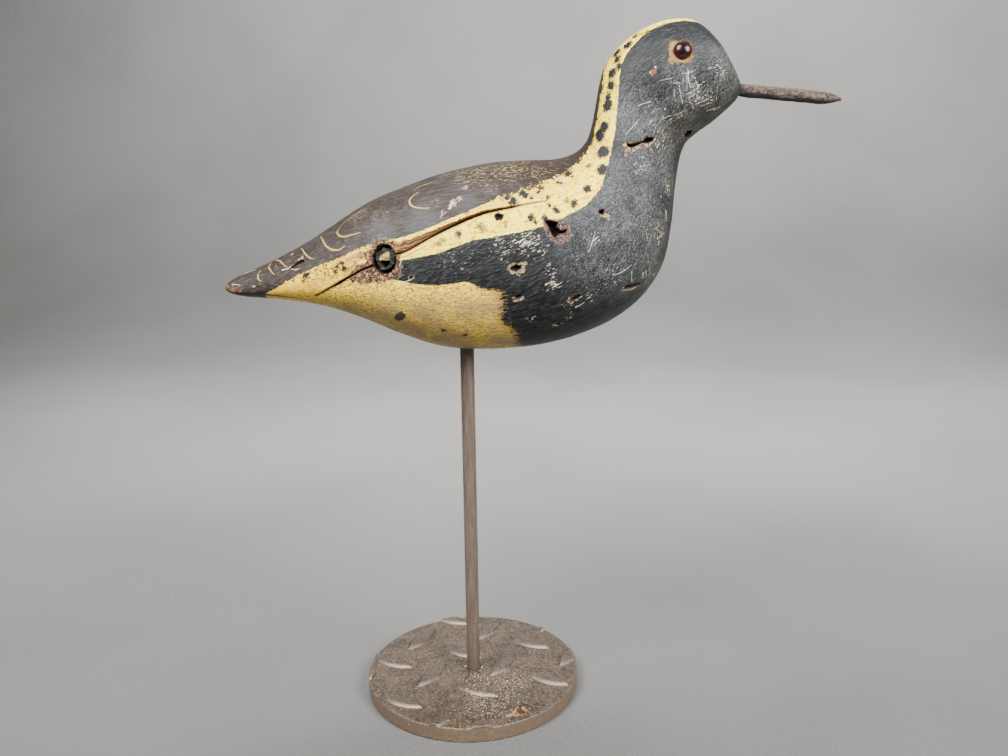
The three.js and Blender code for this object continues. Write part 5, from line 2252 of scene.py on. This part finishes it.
@dataclass
class Foot:
    """The round foot of tread plate."""

    sizes: FootSizes
    rod: RodSizes
    around: int = 440
    rings: int = 110
    edge_steps: int = 5

    def build(self) -> Object:
        """Makes the plate with its lugs, its rounded rim and the rod's blind hole.

        Returns:
            The finished piece.
        """
        sizes = self.sizes
        radius, edge = sizes.diameter / 2, sizes.edge_radius
        hole = self.rod.diameter / 2 + FIT_CLEARANCE
        floor = sizes.thickness - self.rod.depth_in_foot
        arc = [math.pi / 2 * step / self.edge_steps for step in range(self.edge_steps + 1)]
        profile = [(0.3, floor), (hole, floor), (hole, sizes.thickness - 0.3)]
        profile += [(r, sizes.thickness) for r in np.linspace(hole + 0.3, radius - edge, self.rings)]
        profile += [(radius - edge + edge * math.sin(angle), sizes.thickness - edge + edge * math.cos(angle))
                    for angle in arc[1:]]
        profile += [(radius, height) for height in np.linspace(sizes.thickness - edge, edge, 8)[1:]]
        profile += [(radius - edge + edge * math.cos(a), edge - edge * math.sin(a)) for a in arc[1:]]
        profile += [(r, 0.0) for r in np.linspace(radius - edge, 1.0, 14)[1:]]
        mesh, points = ringed_mesh("foot", turned_rings(profile, self.around)[::-1])
        away = np.hypot(points[:, 0], points[:, 1])
        top = (points[:, 2] > sizes.thickness - edge * 0.9) & (away > hole)
        inside, lug_highlight = sizes.lug_depth(points[:, :2])
        soft = inside + lumps(points, 5.0, 91) * 0.25
        raised = sizes.lug_height * smooth_step(0.0, sizes.lug_slope, soft)
        points[:, 2] += np.where(top, raised, 0)
        dents = lumps(points, 8.0, 92) * 0.06 + lumps(points, 2.0, 93) * 0.03
        points[:, 2] += np.where(top & (away < radius - 1), dents, 0)
        move_points(mesh, points)
        set_numbers(mesh, "lug_highlight", np.where(top, lug_highlight, 0))
        set_numbers(mesh, "lug", np.where(top, smooth_step(0.0, 1.2, inside), 0))
        on_rim = smooth_step(0.4, 0.1, np.abs(away - (radius - edge * 0.6)))
        on_rim = on_rim * (points[:, 2] > sizes.thickness - 0.9)
        set_numbers(mesh, "rim", on_rim)
        set_numbers(mesh, "crumbs", self.spots(points, ((10, -31, 17), (4, -12, 11), (18, -14, 12))))
        set_numbers(mesh, "stained", self.spots(points, ((-2, -51, 7), (-50, -8, 5), (12, -50, 3))))
        set_numbers(mesh, "rust", self.spots(points, ((24.0, -37.4, 3.0), (26.2, -34.9, 2.2),
                                                      (21.6, -39.8, 1.8))))
        # side: where the side's painted light goes
        set_numbers(mesh, "side", smooth_step(sizes.thickness - 0.1, sizes.thickness - edge, points[:, 2]))
        set_numbers(mesh, "flake", self.spots(points, ((-3.9, 0.4, 0.8), (3.9, -0.4, 0.8),
                                                       (-48.6, -12.1, 0.7))))
        return add_piece("tread_plate_foot", mesh, "foot", PaintedSteel().plate_material())

    @staticmethod
    def spots(points: Array, places: Sequence[tuple[float, float, float]]) -> Array:
        """Gives a soft mask around flat places on the plate, each with its reach."""
        return np.max([smooth_step(reach * 1.4, reach * 0.3, np.hypot(points[:, 0] - x, points[:, 1] - y))
                       for x, y, reach in places], axis=0)


# The studio


@dataclass(frozen=True)
class Studio:
    """A pale floor that curves up into a backdrop, soft lights and the camera."""

    focal_px: float = 925.0
    frame_px: tuple[int, int] = (1008, 756)
    middle_px: tuple[float, float] = (535.5, 378.0)
    sensor: float = 36.0
    eye_point: tuple[float, float, float] = (30.9, -409.1, 252.9)
    pitch_down: float = 13.69
    roll: float = -0.18
    paper: Colour = (0.083, 0.0815, 0.0775)
    paper_shade: Colour = (0.069, 0.0675, 0.0636)
    paper_fleck: Colour = (0.108, 0.107, 0.103)
    half_width: float = 2600.0
    near: float = -1600.0
    bend_at: float = 700.0
    bend_radius: float = 600.0
    wall_top: float = 2600.0

    def build(self) -> None:
        """Sets up the floor, the lights and the camera."""
        self.floor()
        self.lights()
        self.camera()

    def floor(self) -> None:
        """Makes the floor and its curve up into the backdrop."""
        outline = [(self.near, 0.0), (0.0, 0.0), (self.bend_at, 0.0)]
        for step in range(1, 33):
            angle = math.pi / 2 * step / 32
            reach = self.bend_radius
            outline.append((self.bend_at + reach * math.sin(angle), reach - reach * math.cos(angle)))
        outline.append((self.bend_at + self.bend_radius, self.wall_top))
        points = [(side * self.half_width * MM, y * MM, z * MM) for y, z in outline for side in (-1, 1)]
        faces = [(2 * i, 2 * i + 1, 2 * i + 3, 2 * i + 2) for i in range(len(outline) - 1)]
        mesh = bpy.data.meshes.new("floor")
        mesh.from_pydata(points, [], faces)
        mesh.shade_smooth()
        sweep = bpy.data.objects.new("floor", mesh)
        bpy.context.scene.collection.objects.link(sweep)
        kit = NodeKit("floor_paper")
        clouds = kit.noise(kit.position(), 0.0045, 3.0, 0.5)
        fibre = kit.noise(kit.position(), 0.8, 3.0, 0.7)
        grey = kit.mix((clouds * 0.55 + fibre * 0.45).rise(0.42, 0.58), self.paper, self.paper_shade)
        grey = kit.mix(fibre.rise(0.48, 0.62) * 0.6, grey, self.paper_fleck)
        mesh.materials.append(kit.surface({"Base Color": grey, "Roughness": 0.85}))

    def lights(self) -> None:
        """Hangs the soft lights."""
        world = bpy.data.worlds.new("studio_air")
        world.use_nodes = True
        background = world.node_tree.nodes["Background"]
        background.inputs["Color"].default_value = (0.93, 0.96, 1.0, 1.0)
        background.inputs["Strength"].default_value = 0.30
        bpy.context.scene.world = world
        self.softbox("left_softbox", (-450, -430, 880), (20, 0, 230), (500, 500), 31.0)
        self.softbox("right_softbox", (610, -560, 690), (20, 0, 230), (460, 460), 31.0)
        self.softbox("backdrop_softbox", (280, 350, 1300), (280, 1300, 800), (1500, 600), 56.0, 105.0)
        self.softbox("pool_softbox", (110, 450, 1300), (110, 460, 0), (1200, 220), 14.0, 48.0)

    @staticmethod
    def softbox(name: str, at: Sequence[float], toward: Sequence[float], size: tuple[float, float],
                power: float, spread: float = 180.0) -> None:
        """Hangs one rectangular light.

        Args:
            name: Its name.
            at: Its middle.
            toward: The point that it faces.
            size: Its width and height.
            power: Its power in watts.
            spread: The angle that its light fans out to, in degrees.
        """
        data = bpy.data.lights.new(name, "AREA")
        data.shape = "RECTANGLE"
        data.size, data.size_y = size[0] * MM, size[1] * MM
        data.energy = power
        data.spread = math.radians(spread)
        light = bpy.data.objects.new(name, data)
        light.location = Vector(at) * MM
        aim = Vector(toward) - Vector(at)
        light.rotation_euler = aim.to_track_quat("-Z", "Y").to_euler()
        bpy.context.scene.collection.objects.link(light)

    def camera(self) -> None:
        """Sets the camera at the photograph's place, angle and framing."""
        data = bpy.data.cameras.new("camera")
        wide, high = self.frame_px
        data.sensor_width = self.sensor
        data.lens = self.sensor * self.focal_px / wide
        data.shift_x = (wide / 2 - self.middle_px[0]) / wide
        data.shift_y = (self.middle_px[1] - high / 2) / wide
        data.clip_end = 20.0
        camera = bpy.data.objects.new("camera", data)
        pitch, roll = math.radians(self.pitch_down), math.radians(self.roll)
        forward = Vector((0, math.cos(pitch), -math.sin(pitch)))
        level_right = Vector((1, 0, 0))
        level_up = level_right.cross(forward)
        right = math.cos(roll) * level_right + math.sin(roll) * level_up
        up = right.cross(forward)
        turn = Matrix((right, up, -forward)).transposed().to_4x4()
        camera.matrix_world = Matrix.Translation(Vector(self.eye_point) * MM) @ turn
        bpy.context.scene.collection.objects.link(camera)
        bpy.context.scene.camera = camera


def main() -> None:
    """Builds the decoy piece by piece, then the studio."""
    logging.basicConfig(level=logging.INFO, format="%(name)s: %(message)s")
    form, eye, bill, rod, foot = CarvedForm(), EyeSizes(), BillSizes(), RodSizes(), FootSizes()
    Studio().build()
    Body(form, eye, bill, rod).build()
    glass = EyeGlass().material()
    for side in Side:
        Eye(side, eye, form).build(glass)
    Bill(bill, form).build()
    Rod(rod, foot, form).build()
    Foot(foot, rod).build()


if __name__ == "__main__":
    main()
